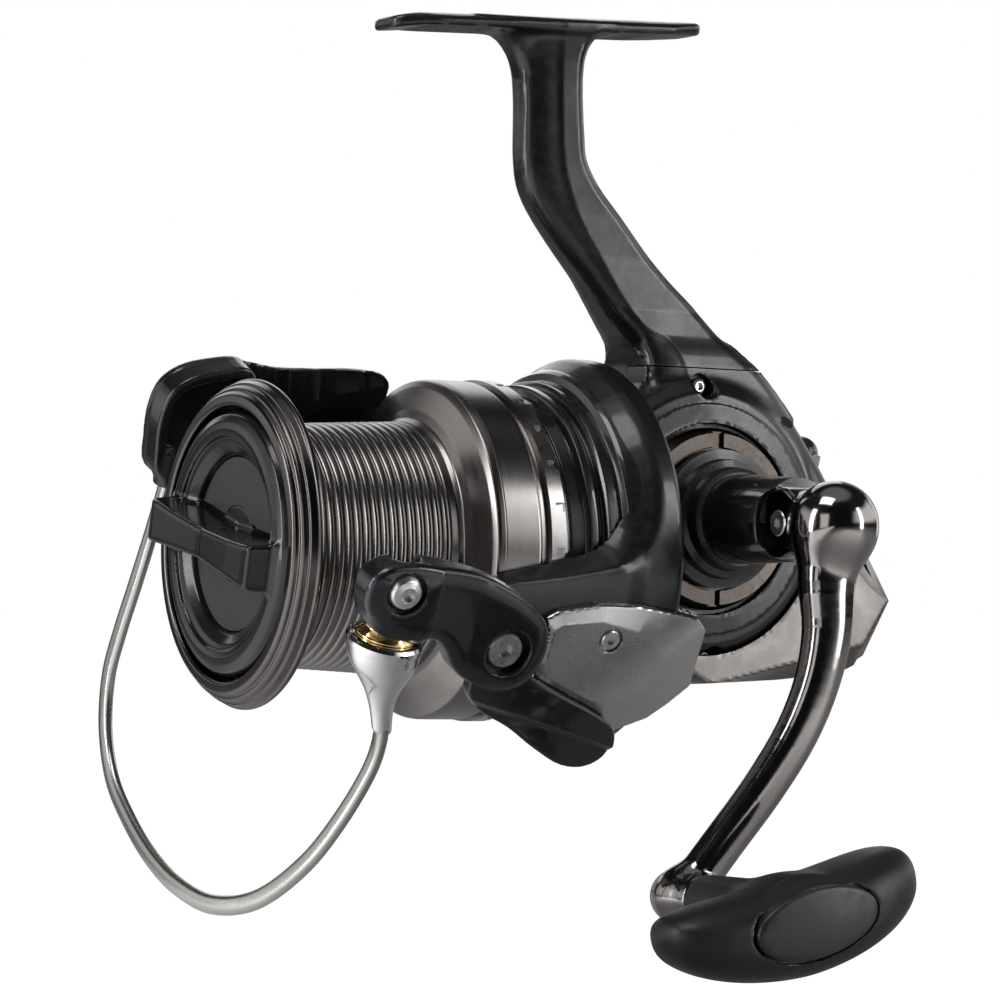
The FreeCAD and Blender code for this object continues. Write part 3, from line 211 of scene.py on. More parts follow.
def contour(fn, lo, hi, h, slack=1.0):
    """Mesh of the zero surface of fn(x, y, z) by dual contouring, so creases stay crisp. Returns vertices and quads."""
    B = 8
    lo = np.array(lo, float)
    nb = np.ceil((np.array(hi, float) - lo) / (h * B)).astype(int)
    n = nb * B + 1
    # closed where a shape would run out of the grid
    half = 0.5 * h * (n - 1)
    mid, half, shape = lo + half, half - 0.6 * h, fn

    def fn(x, y, z):
        edge = np.maximum(np.maximum(np.abs(x - mid[0]) - half[0], np.abs(y - mid[1]) - half[1]), np.abs(z - mid[2]) - half[2])
        return np.maximum(shape(x, y, z), edge)

    cx, cy, cz = [lo[i] + h * B * (np.arange(nb[i] + 1) + 0.5) for i in range(3)]
    gx, gy, gz = np.meshgrid(cx, cy, cz, indexing="ij")
    coarse = fn(gx.ravel(), gy.ravel(), gz.ravel()).reshape(gx.shape)
    near = np.abs(coarse) < (0.5 * B * h * 1.7321 + h) * slack
    act = near.copy()
    for a in (0, 1):
        for b in (0, 1):
            for c in (0, 1):
                if a or b or c:
                    act[a:, b:, c:] |= near[: near.shape[0] - a, : near.shape[1] - b, : near.shape[2] - c]
    sign = np.where(coarse < 0, -1000.0, 1000.0).astype(np.float32)
    val = np.repeat(np.repeat(np.repeat(sign, B, 0), B, 1), B, 2)
    bi = np.argwhere(act)
    o = np.arange(B)
    ox, oy, oz = [q.ravel() for q in np.meshgrid(o, o, o, indexing="ij")]
    CH = 1200
    for s in range(0, len(bi), CH):
        q = bi[s: s + CH]
        ix = (q[:, 0:1] * B + ox).ravel()
        iy = (q[:, 1:2] * B + oy).ravel()
        iz = (q[:, 2:3] * B + oz).ravel()
        val[ix, iy, iz] = fn(lo[0] + h * ix, lo[1] + h * iy, lo[2] + h * iz)
    val = val[: n[0], : n[1], : n[2]]
    val[val == 0] = 1e-6
    ins = val < 0
    cross_c, cross_p, quads = [], [], []
    strides = np.array([n[1] * n[2], n[2], 1])
    for ax in range(3):
        a = [slice(None)] * 3
        b = [slice(None)] * 3
        a[ax], b[ax] = slice(0, -1), slice(1, None)
        idx = np.argwhere(ins[tuple(a)] != ins[tuple(b)])
        u, w = (ax + 1) % 3, (ax + 2) % 3
        ok = (idx[:, u] > 0) & (idx[:, w] > 0) & (idx[:, u] < n[u] - 1) & (idx[:, w] < n[w] - 1)
        idx = idx[ok]
        v0 = val[idx[:, 0], idx[:, 1], idx[:, 2]].astype(float)
        j = idx.copy()
        j[:, ax] += 1
        v1 = val[j[:, 0], j[:, 1], j[:, 2]].astype(float)
        p = lo + h * idx
        p[:, ax] += h * v0 / (v0 - v1)
        lin = idx @ strides
        su, sw = strides[u], strides[w]
        c4 = np.stack([lin - su - sw, lin - sw, lin, lin - su], 1)
        flip = v0 > 0
        c4[flip] = c4[flip][:, ::-1]
        quads.append(c4)
        cross_p.append(p)
    P = np.concatenate(cross_p)
    Q = np.concatenate(quads)
    e = 0.04
    N = np.zeros_like(P)
    for d in ((1, -1, -1), (-1, -1, 1), (-1, 1, -1), (1, 1, 1)):
        d = np.array(d, float)
        f = np.empty(len(P))
        for s in range(0, len(P), 600000):
            q = P[s: s + 600000] + e * d
            f[s: s + 600000] = fn(q[:, 0], q[:, 1], q[:, 2])
        N += f[:, None] * d
    N /= np.maximum(np.linalg.norm(N, axis=1, keepdims=True), 1e-12)
    cells = Q.ravel()
    src = np.repeat(np.arange(len(P)), 4)
    uniq, inv = np.unique(cells, return_inverse=True)
    m = len(uniq)
    cnt = np.bincount(inv, minlength=m).astype(float)
    Ps, Ns = P[src], N[src]
    mean = np.stack([np.bincount(inv, Ps[:, i], m) for i in range(3)], 1) / cnt[:, None]
    rel = Ps - mean[inv]
    dp = (Ns * rel).sum(1)
    A = np.zeros((m, 3, 3))
    rhs = np.zeros((m, 3))
    for i in range(3):
        rhs[:, i] = np.bincount(inv, Ns[:, i] * dp, m)
        for k in range(i, 3):
            A[:, i, k] = A[:, k, i] = np.bincount(inv, Ns[:, i] * Ns[:, k], m)
    A += (0.04 * cnt)[:, None, None] * np.eye(3)
    V = mean + np.linalg.solve(A, rhs[:, :, None])[:, :, 0]
    ci = np.stack([uniq // strides[0], (uniq // strides[1]) % n[1], uniq % n[2]], 1)
    base = lo + h * ci
    V = np.clip(V, base - 0.15 * h, base + 1.15 * h)
    # specks apart from the main surface are dropped
    quad = inv.reshape(-1, 4)
    lab = np.arange(m)
    while True:
        low = lab[quad].min(1)
        new = lab.copy()
        for k in range(4):
            np.minimum.at(new, quad[:, k], low)
        new = new[new]
        if np.array_equal(new, lab):
            break
        lab = new
    keep = np.bincount(lab, minlength=m)[lab] > 60
    place = np.cumsum(keep) - 1
    return V[keep], place[quad[keep[quad[:, 0]]]]


# ------------------------------------------------------------------ meshes
def make(name, verts, faces, mat, body, stands_for=(), sharp=32.0, weighted=False):
    """An object in metres that rides on a body. faces is an (n, k) array or a list of lists."""
    me = bpy.data.meshes.new(name)
    verts = np.asarray(verts, float) * MM
    vol = 0.0
    for f in ([faces] if isinstance(faces, np.ndarray) else [np.array([g]) for g in faces]):
        for i in range(1, f.shape[1] - 1):
            vol += float(np.sum(verts[f[:, 0]] * np.cross(verts[f[:, i]], verts[f[:, i + 1]])))
    if vol < 0:                                         # faces look outwards
        faces = np.ascontiguousarray(faces[:, ::-1]) if isinstance(faces, np.ndarray) else [f[::-1] for f in faces]
    if isinstance(faces, np.ndarray):
        k = faces.shape[1]
        me.vertices.add(len(verts))
        me.vertices.foreach_set("co", verts.astype(np.float32).ravel())
        me.loops.add(faces.size)
        me.loops.foreach_set("vertex_index", faces.astype(np.int32).ravel())
        me.polygons.add(len(faces))
        me.polygons.foreach_set("loop_start", (np.arange(len(faces)) * k).astype(np.int32))
        me.polygons.foreach_set("loop_total", np.full(len(faces), k, np.int32))
    else:
        me.from_pydata([tuple(v) for v in verts], [], [list(map(int, f)) for f in faces])
    me.update(calc_edges=True)
    me.validate()
    me.polygons.foreach_set("use_smooth", np.ones(len(me.polygons), bool))
    me.set_sharp_from_angle(angle=rad(sharp))
    ob = bpy.data.objects.new(name, me)
    bpy.context.scene.collection.objects.link(ob)
    me.materials.append(mat)
    if weighted:
        w = ob.modifiers.new("normals", "WEIGHTED_NORMAL")
        w.keep_sharp = True
    if stands_for:
        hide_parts(*stands_for)
    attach(ob, body)
    return ob


def solid(name, fn, lo, hi, h, mat, body, stands_for=(), sharp=38.0, slack=1.0):
    v, q = contour(fn, lo, hi, h, slack)
    return make(name, v, q, mat, body, stands_for, sharp, weighted=True)


def turn(profile, segs=180, origin=(0, 0, 0), axis="x", start=0.0, end=360.0):
    """A closed profile of (along, radius) turned about an axis through origin."""
    full = abs(end - start) > 359.9
    n = segs if full else segs + 1
    w = np.radians(start + (end - start) * np.arange(n) / segs)
    pr = np.array(profile, float)
    k = len(pr)
    c, s = np.cos(w), np.sin(w)
    a = np.repeat(pr[:, 0][None], n, 0)
    r1, r2 = c[:, None] * pr[:, 1], s[:, None] * pr[:, 1]
    if axis == "x":
        v = np.stack([a, r1, r2], 2)
    elif axis == "y":
        v = np.stack([r2, a, r1], 2)
    else:
        v = np.stack([r1, r2, a], 2)
    v = v.reshape(-1, 3) + np.array(origin, float)
    i, j = np.meshgrid(np.arange(n if full else n - 1), np.arange(k), indexing="ij")
    i2, j2 = (i + 1) % n, (j + 1) % k
    f = np.stack([i * k + j, i * k + j2, i2 * k + j2, i2 * k + j], -1).reshape(-1, 4)
    # facing: area of the profile decides
    area = 0.5 * np.sum(pr[:, 0] * np.roll(pr[:, 1], -1) - np.roll(pr[:, 0], -1) * pr[:, 1])
    if area < 0:
        f = f[:, ::-1]
    return v, f[:, ::-1] if axis == "x" else f[:, ::-1]


def guard(pts, r, steps=4):
    """Rounds a closed profile's corners."""
    return rounded(pts, r, steps)


# ------------------------------------------------------------------ materials
def _nodes(name):
    m = bpy.data.materials.new(name)
    m.use_nodes = True
    t = m.node_tree
    bs = t.nodes["Principled BSDF"]
    return m, t, bs


def _noise(t, scale, detail=3.0, rough=0.55, co=None, stretch=None):
    """A noise texture in millimetres: scale is features per millimetre."""
    tc = t.nodes.new("ShaderNodeTexCoord")
    mp = t.nodes.new("ShaderNodeMapping")
    mp.inputs["Scale"].default_value = stretch or (1, 1, 1)
    t.links.new(tc.outputs["Object"], mp.inputs["Vector"])
    nz = t.nodes.new("ShaderNodeTexNoise")
    nz.inputs["Scale"].default_value = scale * 1000.0
    nz.inputs["Detail"].default_value = detail
    nz.inputs["Roughness"].default_value = rough
    t.links.new(mp.outputs["Vector"], nz.inputs["Vector"])
    return nz.outputs["Fac"]


def _ramp(t, fac, lo, hi, p0=0.3, p1=0.7):
    mr = t.nodes.new("ShaderNodeMapRange")
    mr.inputs["From Min"].default_value = p0
    mr.inputs["From Max"].default_value = p1
    mr.inputs["To Min"].default_value = lo
    mr.inputs["To Max"].default_value = hi
    mr.interpolation_type = "SMOOTHSTEP"
    t.links.new(fac, mr.inputs["Value"])
    return mr.outputs["Result"]


def _mix(t, fac, a, b):
    mx = t.nodes.new("ShaderNodeMix")
    mx.data_type = "RGBA"
    for sock, v in ((mx.inputs["A"], a), (mx.inputs["B"], b)):
        if isinstance(v, tuple):
            sock.default_value = (*v, 1.0)
        else:
            t.links.new(v, sock)
    if isinstance(fac, float):
        mx.inputs["Factor"].default_value = fac
    else:
        t.links.new(fac, mx.inputs["Factor"])
    return mx.outputs["Result"]


def _math(t, op, a, b=None):
    n = t.nodes.new("ShaderNodeMath")
    n.operation = op
    for k, v in enumerate((a, b)):
        if v is None:
            continue
        if isinstance(v, (int, float)):
            n.inputs[k].default_value = v
        else:
            t.links.new(v, n.inputs[k])
    return n.outputs[0]


def _bump(t, bs, fac, strength, dist=0.00005, coat=False):
    b = t.nodes.new("ShaderNodeBump")
    b.inputs["Strength"].default_value = strength
    b.inputs["Distance"].default_value = dist
    t.links.new(fac, b.inputs["Height"])
    t.links.new(b.outputs["Normal"], bs.inputs["Normal"])
    if coat:
        t.links.new(b.outputs["Normal"], bs.inputs["Coat Normal"])
    return b


def _wear(t, amount=0.5):
    """Brighter edges where a surface bends outwards sharply."""
    g = t.nodes.new("ShaderNodeNewGeometry")
    return _ramp(t, g.outputs["Pointiness"], 0.0, amount, 0.515, 0.58)


def paint(name, dark, light, metallic=0.75, rough=0.34, flake=1.0, coat=1.0, coat_rough=0.04, edge=(0.35, 0.35, 0.34), edge_amount=0.25):
    """Metallic paint: fine flakes under a clear coat, slow cloudiness, slightly rubbed edges."""
    m, t, bs = _nodes(name)
    fl = t.nodes.new("ShaderNodeTexVoronoi")
    fl.inputs["Scale"].default_value = 9000.0
    tc = t.nodes.new("ShaderNodeTexCoord")
    t.links.new(tc.outputs["Object"], fl.inputs["Vector"])
    sep = t.nodes.new("ShaderNodeSeparateColor")
    t.links.new(fl.outputs["Color"], sep.inputs["Color"])
    cloud = _noise(t, 0.03, 2.0)
    c = _mix(t, _ramp(t, cloud, 0.0, 1.0), dark, light)
    spark = _ramp(t, sep.outputs["Red"], 0.0, 0.35 * flake, 0.5, 1.0)
    c = _mix(t, spark, c, tuple(min(1.0, v * 2.4 + 0.03) for v in light))
    c = _mix(t, _wear(t, edge_amount), c, edge)
    t.links.new(c, bs.inputs["Base Color"])
    bs.inputs["Metallic"].default_value = metallic
    fine = _noise(t, 0.6, 4.0)
    t.links.new(_ramp(t, fine, rough * 0.85, rough * 1.2), bs.inputs["Roughness"])
    bs.inputs["Coat Weight"].default_value = coat
    t.links.new(_ramp(t, _noise(t, 0.12, 3.0), coat_rough * 0.6, coat_rough * 1.8), bs.inputs["Coat Roughness"])
    _bump(t, bs, fine, 0.06, 0.00003)
    return m


def metal(name, a, b, rough=0.2, spread=0.3, cloud=0.05, aniso=0.0, scratch=None, bump=0.05, edge=0.2, fine=0.8, rot=0.0, coat=0.0):
    """Plated or turned metal: cloudy tone, uneven polish, fine lines where asked for."""
    m, t, bs = _nodes(name)
    c = _mix(t, _ramp(t, _noise(t, cloud, 4.0, 0.6), 0.0, 1.0, 0.32, 0.68), a, b)
    c = _mix(t, _wear(t, edge), c, tuple(min(1.0, v * 1.5 + 0.12) for v in b))
    t.links.new(c, bs.inputs["Base Color"])
    bs.inputs["Metallic"].default_value = 1.0
    f = _noise(t, fine, 4.0, 0.6, stretch=scratch)
    r = _ramp(t, f, rough * (1 - spread), rough * (1 + spread))
    r2 = _ramp(t, _noise(t, cloud * 1.7, 3.0), -rough * spread * 0.7, rough * spread * 0.7)
    t.links.new(_math(t, "ADD", r, r2), bs.inputs["Roughness"])
    bs.inputs["Anisotropic"].default_value = aniso
    bs.inputs["Anisotropic Rotation"].default_value = rot
    if aniso:
        tg = t.nodes.new("ShaderNodeTangent")
        tg.direction_type = "RADIAL"
        tg.axis = "X"
        t.links.new(tg.outputs["Tangent"], bs.inputs["Tangent"])
    bs.inputs["Coat Weight"].default_value = coat
    bs.inputs["Coat Roughness"].default_value = 0.05
    _bump(t, bs, f, bump, 0.00004)
    return m


def plastic(name, a, b, rough=0.3, grain=1.5, bump=0.15, coat=0.0, spec=0.5, sheen=0.0, edge=0.15, edge_col=(0.16, 0.16, 0.16)):
    m, t, bs = _nodes(name)
    c = _mix(t, _ramp(t, _noise(t, 0.05, 3.0), 0.0, 1.0), a, b)
    c = _mix(t, _wear(t, edge), c, edge_col)
    t.links.new(c, bs.inputs["Base Color"])
    g = _noise(t, grain, 5.0, 0.6)
    r = _ramp(t, g, rough * 0.8, rough * 1.2)
    r2 = _ramp(t, _noise(t, 0.09, 3.0), -0.12 * rough, 0.22 * rough)
    t.links.new(_math(t, "ADD", r, r2), bs.inputs["Roughness"])
    bs.inputs["Specular IOR Level"].default_value = spec
    bs.inputs["Coat Weight"].default_value = coat
    bs.inputs["Coat Roughness"].default_value = 0.06
    bs.inputs["Sheen Weight"].default_value = sheen
    _bump(t, bs, g, bump, 0.00006)
    return m


M_PAINT = paint("paint_graphite", (0.0165, 0.0183, 0.0176), (0.027, 0.0295, 0.0282), metallic=0.85, rough=0.36, flake=0.5, coat=0.5, coat_rough=0.13, edge=(0.2, 0.205, 0.2), edge_amount=0.12)
M_PAINT_ARM = paint("paint_arm", (0.0145, 0.0165, 0.0195), (0.023, 0.0262, 0.0305), metallic=0.85, rough=0.34, flake=0.4, coat=0.75, coat_rough=0.075, edge=(0.16, 0.17, 0.18), edge_amount=0.12)
M_SPOOL = metal("spool_gunmetal", (0.22, 0.207, 0.202), (0.25, 0.236, 0.23), rough=0.22, spread=0.12, cloud=0.03, aniso=0.45, scratch=(6.0, 0.12, 0.12), bump=0.04, fine=0.4, edge=0.0)
# spool's front lip: a darker copy of the spool metal; the darkening is painted shade
M_LIP_SHADED = metal("spool_lip_shaded", (0.105, 0.097, 0.095), (0.125, 0.116, 0.113), rough=0.2, spread=0.12, cloud=0.03, aniso=0.45, scratch=(6.0, 0.12, 0.12), bump=0.03, fine=0.4, edge=0.0)
M_RING = metal("ring_gunmetal", (0.32, 0.31, 0.30), (0.37, 0.36, 0.35), rough=0.22, spread=0.12, cloud=0.04, bump=0.01, edge=0.05, fine=0.3)
M_KNOB = plastic("drag_knob_gloss", (0.0055, 0.0048, 0.0058), (0.0085, 0.0076, 0.0090), rough=0.2, grain=0.8, bump=0.02, coat=0.3, spec=0.34, edge=0.06, edge_col=(0.07, 0.065, 0.075))
M_INSET = plastic("inset_satin", (0.006, 0.0055, 0.0062), (0.009, 0.0085, 0.0094), rough=0.36, grain=2.0, bump=0.12)
M_BLACK = plastic("black_gloss", (0.006, 0.006, 0.006), (0.010, 0.010, 0.010), rough=0.12, grain=0.5, bump=0.015, coat=1.0, spec=0.6, edge=0.05)
M_BOOT = plastic("black_moulding", (0.008, 0.008, 0.008), (0.014, 0.014, 0.014), rough=0.28, grain=1.6, bump=0.08, coat=0.2)
M_SOFT = plastic("grip_soft", (0.0062, 0.0063, 0.0066), (0.0098, 0.0100, 0.0103), rough=0.4, grain=2.6, bump=0.16, spec=0.4, sheen=0.0, edge=0.05, edge_col=(0.04, 0.04, 0.04))
M_CAP = plastic("grip_cap_satin", (0.0125, 0.0125, 0.012), (0.0195, 0.0195, 0.0188), rough=0.32, grain=0.5, bump=0.02, spec=0.45, edge=0.05, edge_col=(0.2, 0.2, 0.19))
M_SMOKE = metal("smoked_chrome", (0.47, 0.462, 0.458), (0.52, 0.512, 0.51), rough=0.25, spread=0.1, cloud=0.03, bump=0.008, edge=0.0, fine=0.2)
# rear cover: a much darker copy of the smoked chrome; the darkening is painted shade
M_REAR_SHADED = metal("rear_chrome_shaded", (0.135, 0.125, 0.119), (0.165, 0.154, 0.147), rough=0.28, spread=0.1, cloud=0.03, bump=0.008, edge=0.0, fine=0.2)
M_GUN = metal("crank_gunmetal", (0.26, 0.245, 0.24), (0.30, 0.285, 0.278), rough=0.11, spread=0.2, cloud=0.03, bump=0.03, edge=0.2, fine=0.5)
M_CHROME = metal("bright_chrome", (0.66, 0.66, 0.665), (0.80, 0.80, 0.80), rough=0.09, spread=0.25, cloud=0.03, bump=0.004, edge=0.0, fine=0.3)
M_GOLD = metal("roller_gold", (0.72, 0.47, 0.16), (0.90, 0.64, 0.27), rough=0.14, spread=0.4, cloud=0.15, bump=0.03, edge=0.2)
M_WIRE = metal("bail_steel", (0.36, 0.352, 0.338), (0.42, 0.41, 0.396), rough=0.27, spread=0.1, cloud=0.03, bump=0.01, fine=0.3, edge=0.05)
M_SCREW = metal("screw_steel", (0.60, 0.60, 0.59), (0.74, 0.74, 0.73), rough=0.28, spread=0.12, cloud=0.06, bump=0.01, fine=0.4, edge=0.05)
M_STEEL = metal("steel_turned", (0.42, 0.41, 0.40), (0.55, 0.54, 0.53), rough=0.26, spread=0.3, cloud=0.1, aniso=0.4, scratch=(5, 0.3, 0.3), bump=0.08)
M_ZINC = metal("die_cast", (0.34, 0.34, 0.345), (0.44, 0.44, 0.45), rough=0.38, spread=0.3, cloud=0.08, bump=0.15)
M_BRASS = metal("brass", (0.66, 0.47, 0.20), (0.80, 0.60, 0.30), rough=0.22, spread=0.3, cloud=0.1, bump=0.06)
M_ACETAL = plastic("acetal", (0.62, 0.60, 0.56), (0.72, 0.70, 0.66), rough=0.45, grain=1.2, bump=0.1, edge=0.05, edge_col=(0.8, 0.8, 0.78))
M_FELT = plastic("drag_felt", (0.03, 0.03, 0.03), (0.07, 0.07, 0.07), rough=0.9, grain=3.0, bump=0.8, sheen=0.4)
M_RINGB = metal("ring_brown", (0.060, 0.050, 0.045), (0.085, 0.073, 0.066), rough=0.26, spread=0.15, cloud=0.04, bump=0.02, edge=0.05)
M_DARKSTEEL = metal("dark_steel", (0.10, 0.10, 0.10), (0.17, 0.165, 0.16), rough=0.28, spread=0.3, cloud=0.1, bump=0.05)

CAD_LOOK = {
    "crank_ring": M_RINGB, "shaft_cap": M_BOOT, "shank_collar": M_BOOT, "handle_shank": M_BLACK, "click_ring": M_RING, "knob_insets": M_INSET,
    "anti_reverse_lever": M_BOOT, "clutch_plate": M_DARKSTEEL, "worm_bush": M_BOOT, "line_roller": M_GOLD, "pinion_gear": M_BRASS, "slider_pawl": M_BRASS,
    "drive_gear": M_ZINC, "slider_block": M_ZINC, "worm_gear": M_ACETAL, "spool_bush": M_ACETAL, "drag_washers": M_FELT,
    "arm_cover_b": M_PAINT, "reel_body": M_PAINT, "side_cover": M_PAINT, "rotor": M_PAINT, "rear_cover": M_REAR_SHADED, "arm_cover_a": M_SMOKE,
    "handle_arm": M_GUN, "bail_arm": M_PAINT_ARM, "bail_lever": M_PAINT_ARM, "bail_cone": M_CHROME, "bail_wire": M_WIRE, "spool": M_SPOOL, "drag_knob": M_KNOB,
    "handle_knob": M_SOFT, "knob_cap": M_CAP,
}
for _n, _o in NODES.items():
    _m = CAD_LOOK.get(_n)
    if _m is None:
        _m = M_SCREW if "screw" in _n or _n in ("fold_pin",) else M_STEEL
    _o.data.materials.clear()
    _o.data.materials.append(_m)


# ------------------------------------------------------------------ housing, leg and foot
CORE = rounded([(34, -20), (34, 26), (22.5, 34.5), (14.2, 41.0), (13.4, 46.6), (13.4, 52), (-11.6, 52), (-18.1, 46.2), (-23.3, 40), (-29.6, 32.8), (-35.9, 24.5), (-43, 14),
                (-50, 2), (-54, -9), (-50, -18), (-40, -23.5), (-20, -26), (5, -26), (24, -24)], 3.0, 3)
T_CORE = poly_table(CORE, 14)
LEG_REAR = [(22.5, 128.2), (26.8, 125.6), (29.2, 121.8), (30.0, 115.3), (29.1, 100.7), (28.4, 95.9), (25.1, 90), (18.6, 82.8), (10.2, 73.1), (4, 66.9), (-1.9, 61.7), (-8, 55), (-14.1, 49.6), (-18, 46.3), (-23.3, 40), (-27, 35)]
LEG_FRONT = [(61.0, 127.4), (54.0, 125.4), (49.6, 121.6), (47.2, 116.5), (46.4, 110.0), (46.2, 104), (45.9, 94.6), (44.8, 88.6), (41.8, 82.8), (33.1, 72.4), (27.2, 66.2), (21.2, 58.4), (15.3, 51.4), (13.4, 46.6), (13.6, 43.4), (17, 38)]
_lr, _lf = catmull(LEG_REAR, 3), catmull(LEG_FRONT, 3)
LEG_POLY = list(_lr) + list(_lf)[::-1]
T_LEG = poly_table(LEG_POLY, 12)
T_LR = Table(lambda a, b: line2(a, b, _lr), (-45, 20), (70, 140))
T_LF = Table(lambda a, b: line2(a, b, _lf), (-45, 20), (70, 140))
CREASE = catmull([(38.2, 130), (37.6, 122), (37.4, 116.5), (36.2, 94.9), (34.3, 87.7), (31.3, 80.7), (25.3, 71.3), (19.3, 61.9), (13.3, 55.2), (7.6, 52.6), (4.3, 46.6), (4.5, 42.7), (7.6, 38.4), (12.6, 34.8), (20, 31)], 4)
_cr = list(CREASE)
# in front of the crease: a closed region reaching past the front edge
FRONT_ZONE = _cr + [(66, 31), (66, 130)]
T_FZ = poly_table(FRONT_ZONE, 6)
FOOT_SIDE = rounded([(-3.0, 128.7), (-3.0, 131.0), (-1.1, 132.0), (75.8, 127.7), (83.9, 125.6), (83.9, 122.9), (76.0, 124.0), (56.0, 125.1), (24.0, 126.6), (12, 127.3)],
                    [1.2, 1.0, 0.8, 6, 1.2, 1.2, 5, 8, 8, 20], 5)
T_FOOT = poly_table(FOOT_SIDE, 10)
FOOT_PLAN = rounded([(-3.2, -5.6), (6, -8.5), (72, -8.5), (84.1, -5.8), (84.1, 5.8), (72, 8.5), (6, 8.5), (-3.2, 5.6)], [4.5, 12, 12, 4.5, 4.5, 12, 12, 4.5], 6)
T_PLAN = poly_table(FOOT_PLAN, 8)
HW_Z = [20, 34, 39, 43, 46.2, 49, 52, 60, 72.4, 82.8, 88.6, 94.6, 113.9, 119, 123, 126]
HW_V = [14.0, 14.0, 13.8, 13.2, 12.6, 11.8, 10.8, 8.4, 6.9, 6.4, 6.3, 6.2, 6.2, 6.3, 6.8, 7.4]


def leg_field(x, y, z):
    hw = np.interp(z, HW_Z, HW_V)
    p = T_LEG(x, z)
    uf, ur = T_LF(x, z), T_LR(x, z)
    # in front of the crease the side drops into a rounded nose
    fz = T_FZ(x, z)                       # negative in front of the crease
    kz = np.clip((z - 38.0) / 20.0, 0, 1)
    drop = np.where(fz < 0, 0.5 * (1 - np.exp(fz / 0.7)) * (0.2 + 0.8 * kz), 0.0)
    depth = np.maximum(-fz, 0)
    frac = depth / np.maximum(depth + uf, 0.3)
    nose = np.sqrt(np.maximum(1 - (np.clip(frac, 0, 1)) ** 2.4, 0.0))
    w = (hw - drop) * np.where(fz < 0, 1.0 - (1.0 - nose) * (0.25 + 0.45 * kz), 1.0)
    rr = 3.2
    q = np.clip((rr - ur) / rr, 0, 1)
    w = w - 2.4 * q * q
    side = (np.abs(y) - w) * 0.82
    return smax(p, side, 1.2)


def foot_field(x, y, z):
    prof = T_FOOT(x, z)
    plan = T_PLAN(x, y)
    crown = z + 0.0 * x - (132.4 - 0.0563 * (x + 1.1)) + (y * y) / 34.0     # rounded to sit on a rod
    return smax(smax(prof, plan, 1.4), crown * 0.9, 1.0)


def housing_field(x, y, z):
    """The closed outside shape of body and side cover together, without the disc's rings."""
    ay = np.abs(y)
    core = smax(T_CORE(x, z), ay - np.interp(z, [36, 41, 46, 52, 56], [13.4, 13.0, 12.0, 9.4, 7.6]), 3.5)
    r = np.sqrt(x * x + (z - CZ) ** 2)
    flank = (r - 33.0 + np.maximum(ay - 15.0, 0) * 0.55) * 0.9
    disc = smax(flank, ay - 18.0, 2.0)
    return smin(core, disc, 2.5)


def cavity(x, y, z):
    """The gearbox's hollow."""
    return smax(smax(T_CORE(x, z) + 2.8, np.abs(y) - 11.8, 1.5), np.maximum(x - 27.5, z - 34.0), 1.0)


def body_field(x, y, z):
    leg = leg_field(x, y, z)
    foot = foot_field(x, y, z)
    d = smin(leg, foot, 2.2)
    hs = housing_field(x, y, z)
    # the housing behind the split plane; its leg root joins smoothly
    near = smin(hs, leg, 3.0)
    cut = np.minimum(y - 1.95, 46.28 - z)          # positive inside the side cover's region
    d = np.where(z > 60, d, smin(near, foot + 40, 1.0))
    d = np.maximum(d, cut)
    r = np.sqrt(y * y + z * z)
    front = cyl(x, r, 19.0, 33.0, 30.0, 1.0)
    front = np.maximum(front, np.where(y > 1.95, 22.6 - x, -50.0))
    d = np.minimum(d, front)
    d = np.maximum(d, -cavity(x, y, z))
    # hollow seen through the open front and the lever's slot
    d = np.maximum(d, -box3(x, y, z, (-38.0, 0, 23.5), (6.2, 2.7, 6.2), 0.8))
    cap = np.sqrt(x * x + (z - CZ) ** 2)
    d = np.maximum(d, -cyl(-y, cap, 16.8, 30, 23.2, 0.6) )
    d = np.minimum(d, cyl(-y, cap, 10, 18.6, 21.6, 1.4))
    d = np.maximum(d, -cyl(-y, cap, 17.4, 30, 14.0, 0.4))
    d = np.minimum(d, cyl(-y, cap, 10, 18.5, 12.6, 0.5))
    d = np.maximum(d, -cyl(-y, np.sqrt((x - 0.6) ** 2 + (z - 41.6) ** 2), 9.0, 30, 2.9, 0.0))
    return d


def side_field(x, y, z):
    leg = leg_field(x, y, z)
    hs = housing_field(x, y, z)
    fz = T_FZ(x, z)
    hs2 = smin(hs, leg, 3.0)
    d = np.maximum(hs2, np.maximum(2.05 - y, z - 46.02))
    d = np.maximum(d, x - 22.4)
    r = np.sqrt(x * x + (z - CZ) ** 2)
    # raised disc with its turned steps
    steps = np.interp(r, [0, 23.3, 23.7, 27.9, 28.3, 30.4, 31.4, 33.2, 60], [19.0, 19.0, 19.15, 18.9, 18.35, 18.1, 17.2, 15.2, 10.0])
    top = (y - steps) * 0.85
    disc = np.maximum(smax(r - 33.2, top, 0.5), 10.0 - y)
    disc = np.maximum(disc, np.maximum(x - 22.4, -(z + 26.3)))
    d = smin(d, disc, 0.5)
    d = np.maximum(d, -cavity(x, y, z))
    d = np.maximum(d, -cyl(y, r, 17.0, 40, 23.4, 0.5))        # recess for the crank ring
    d = np.maximum(d, -cyl(y, r, 9.0, 40, 16.5, 0.0))
    for sx, sz, sr in ((0.6, 41.6, 3.1), (-3.6, -24.6, 2.9)):
        q = np.sqrt((x - sx) ** 2 + (z - sz) ** 2)
        d = smax(d, -cyl(y, q, 11.3, 40, sr, 0.0), 0.5)
    d = np.maximum(d, -box3(x, y, z, (-38.0, 0, 23.5), (6.2, 2.7, 6.2), 0.8))
    return d


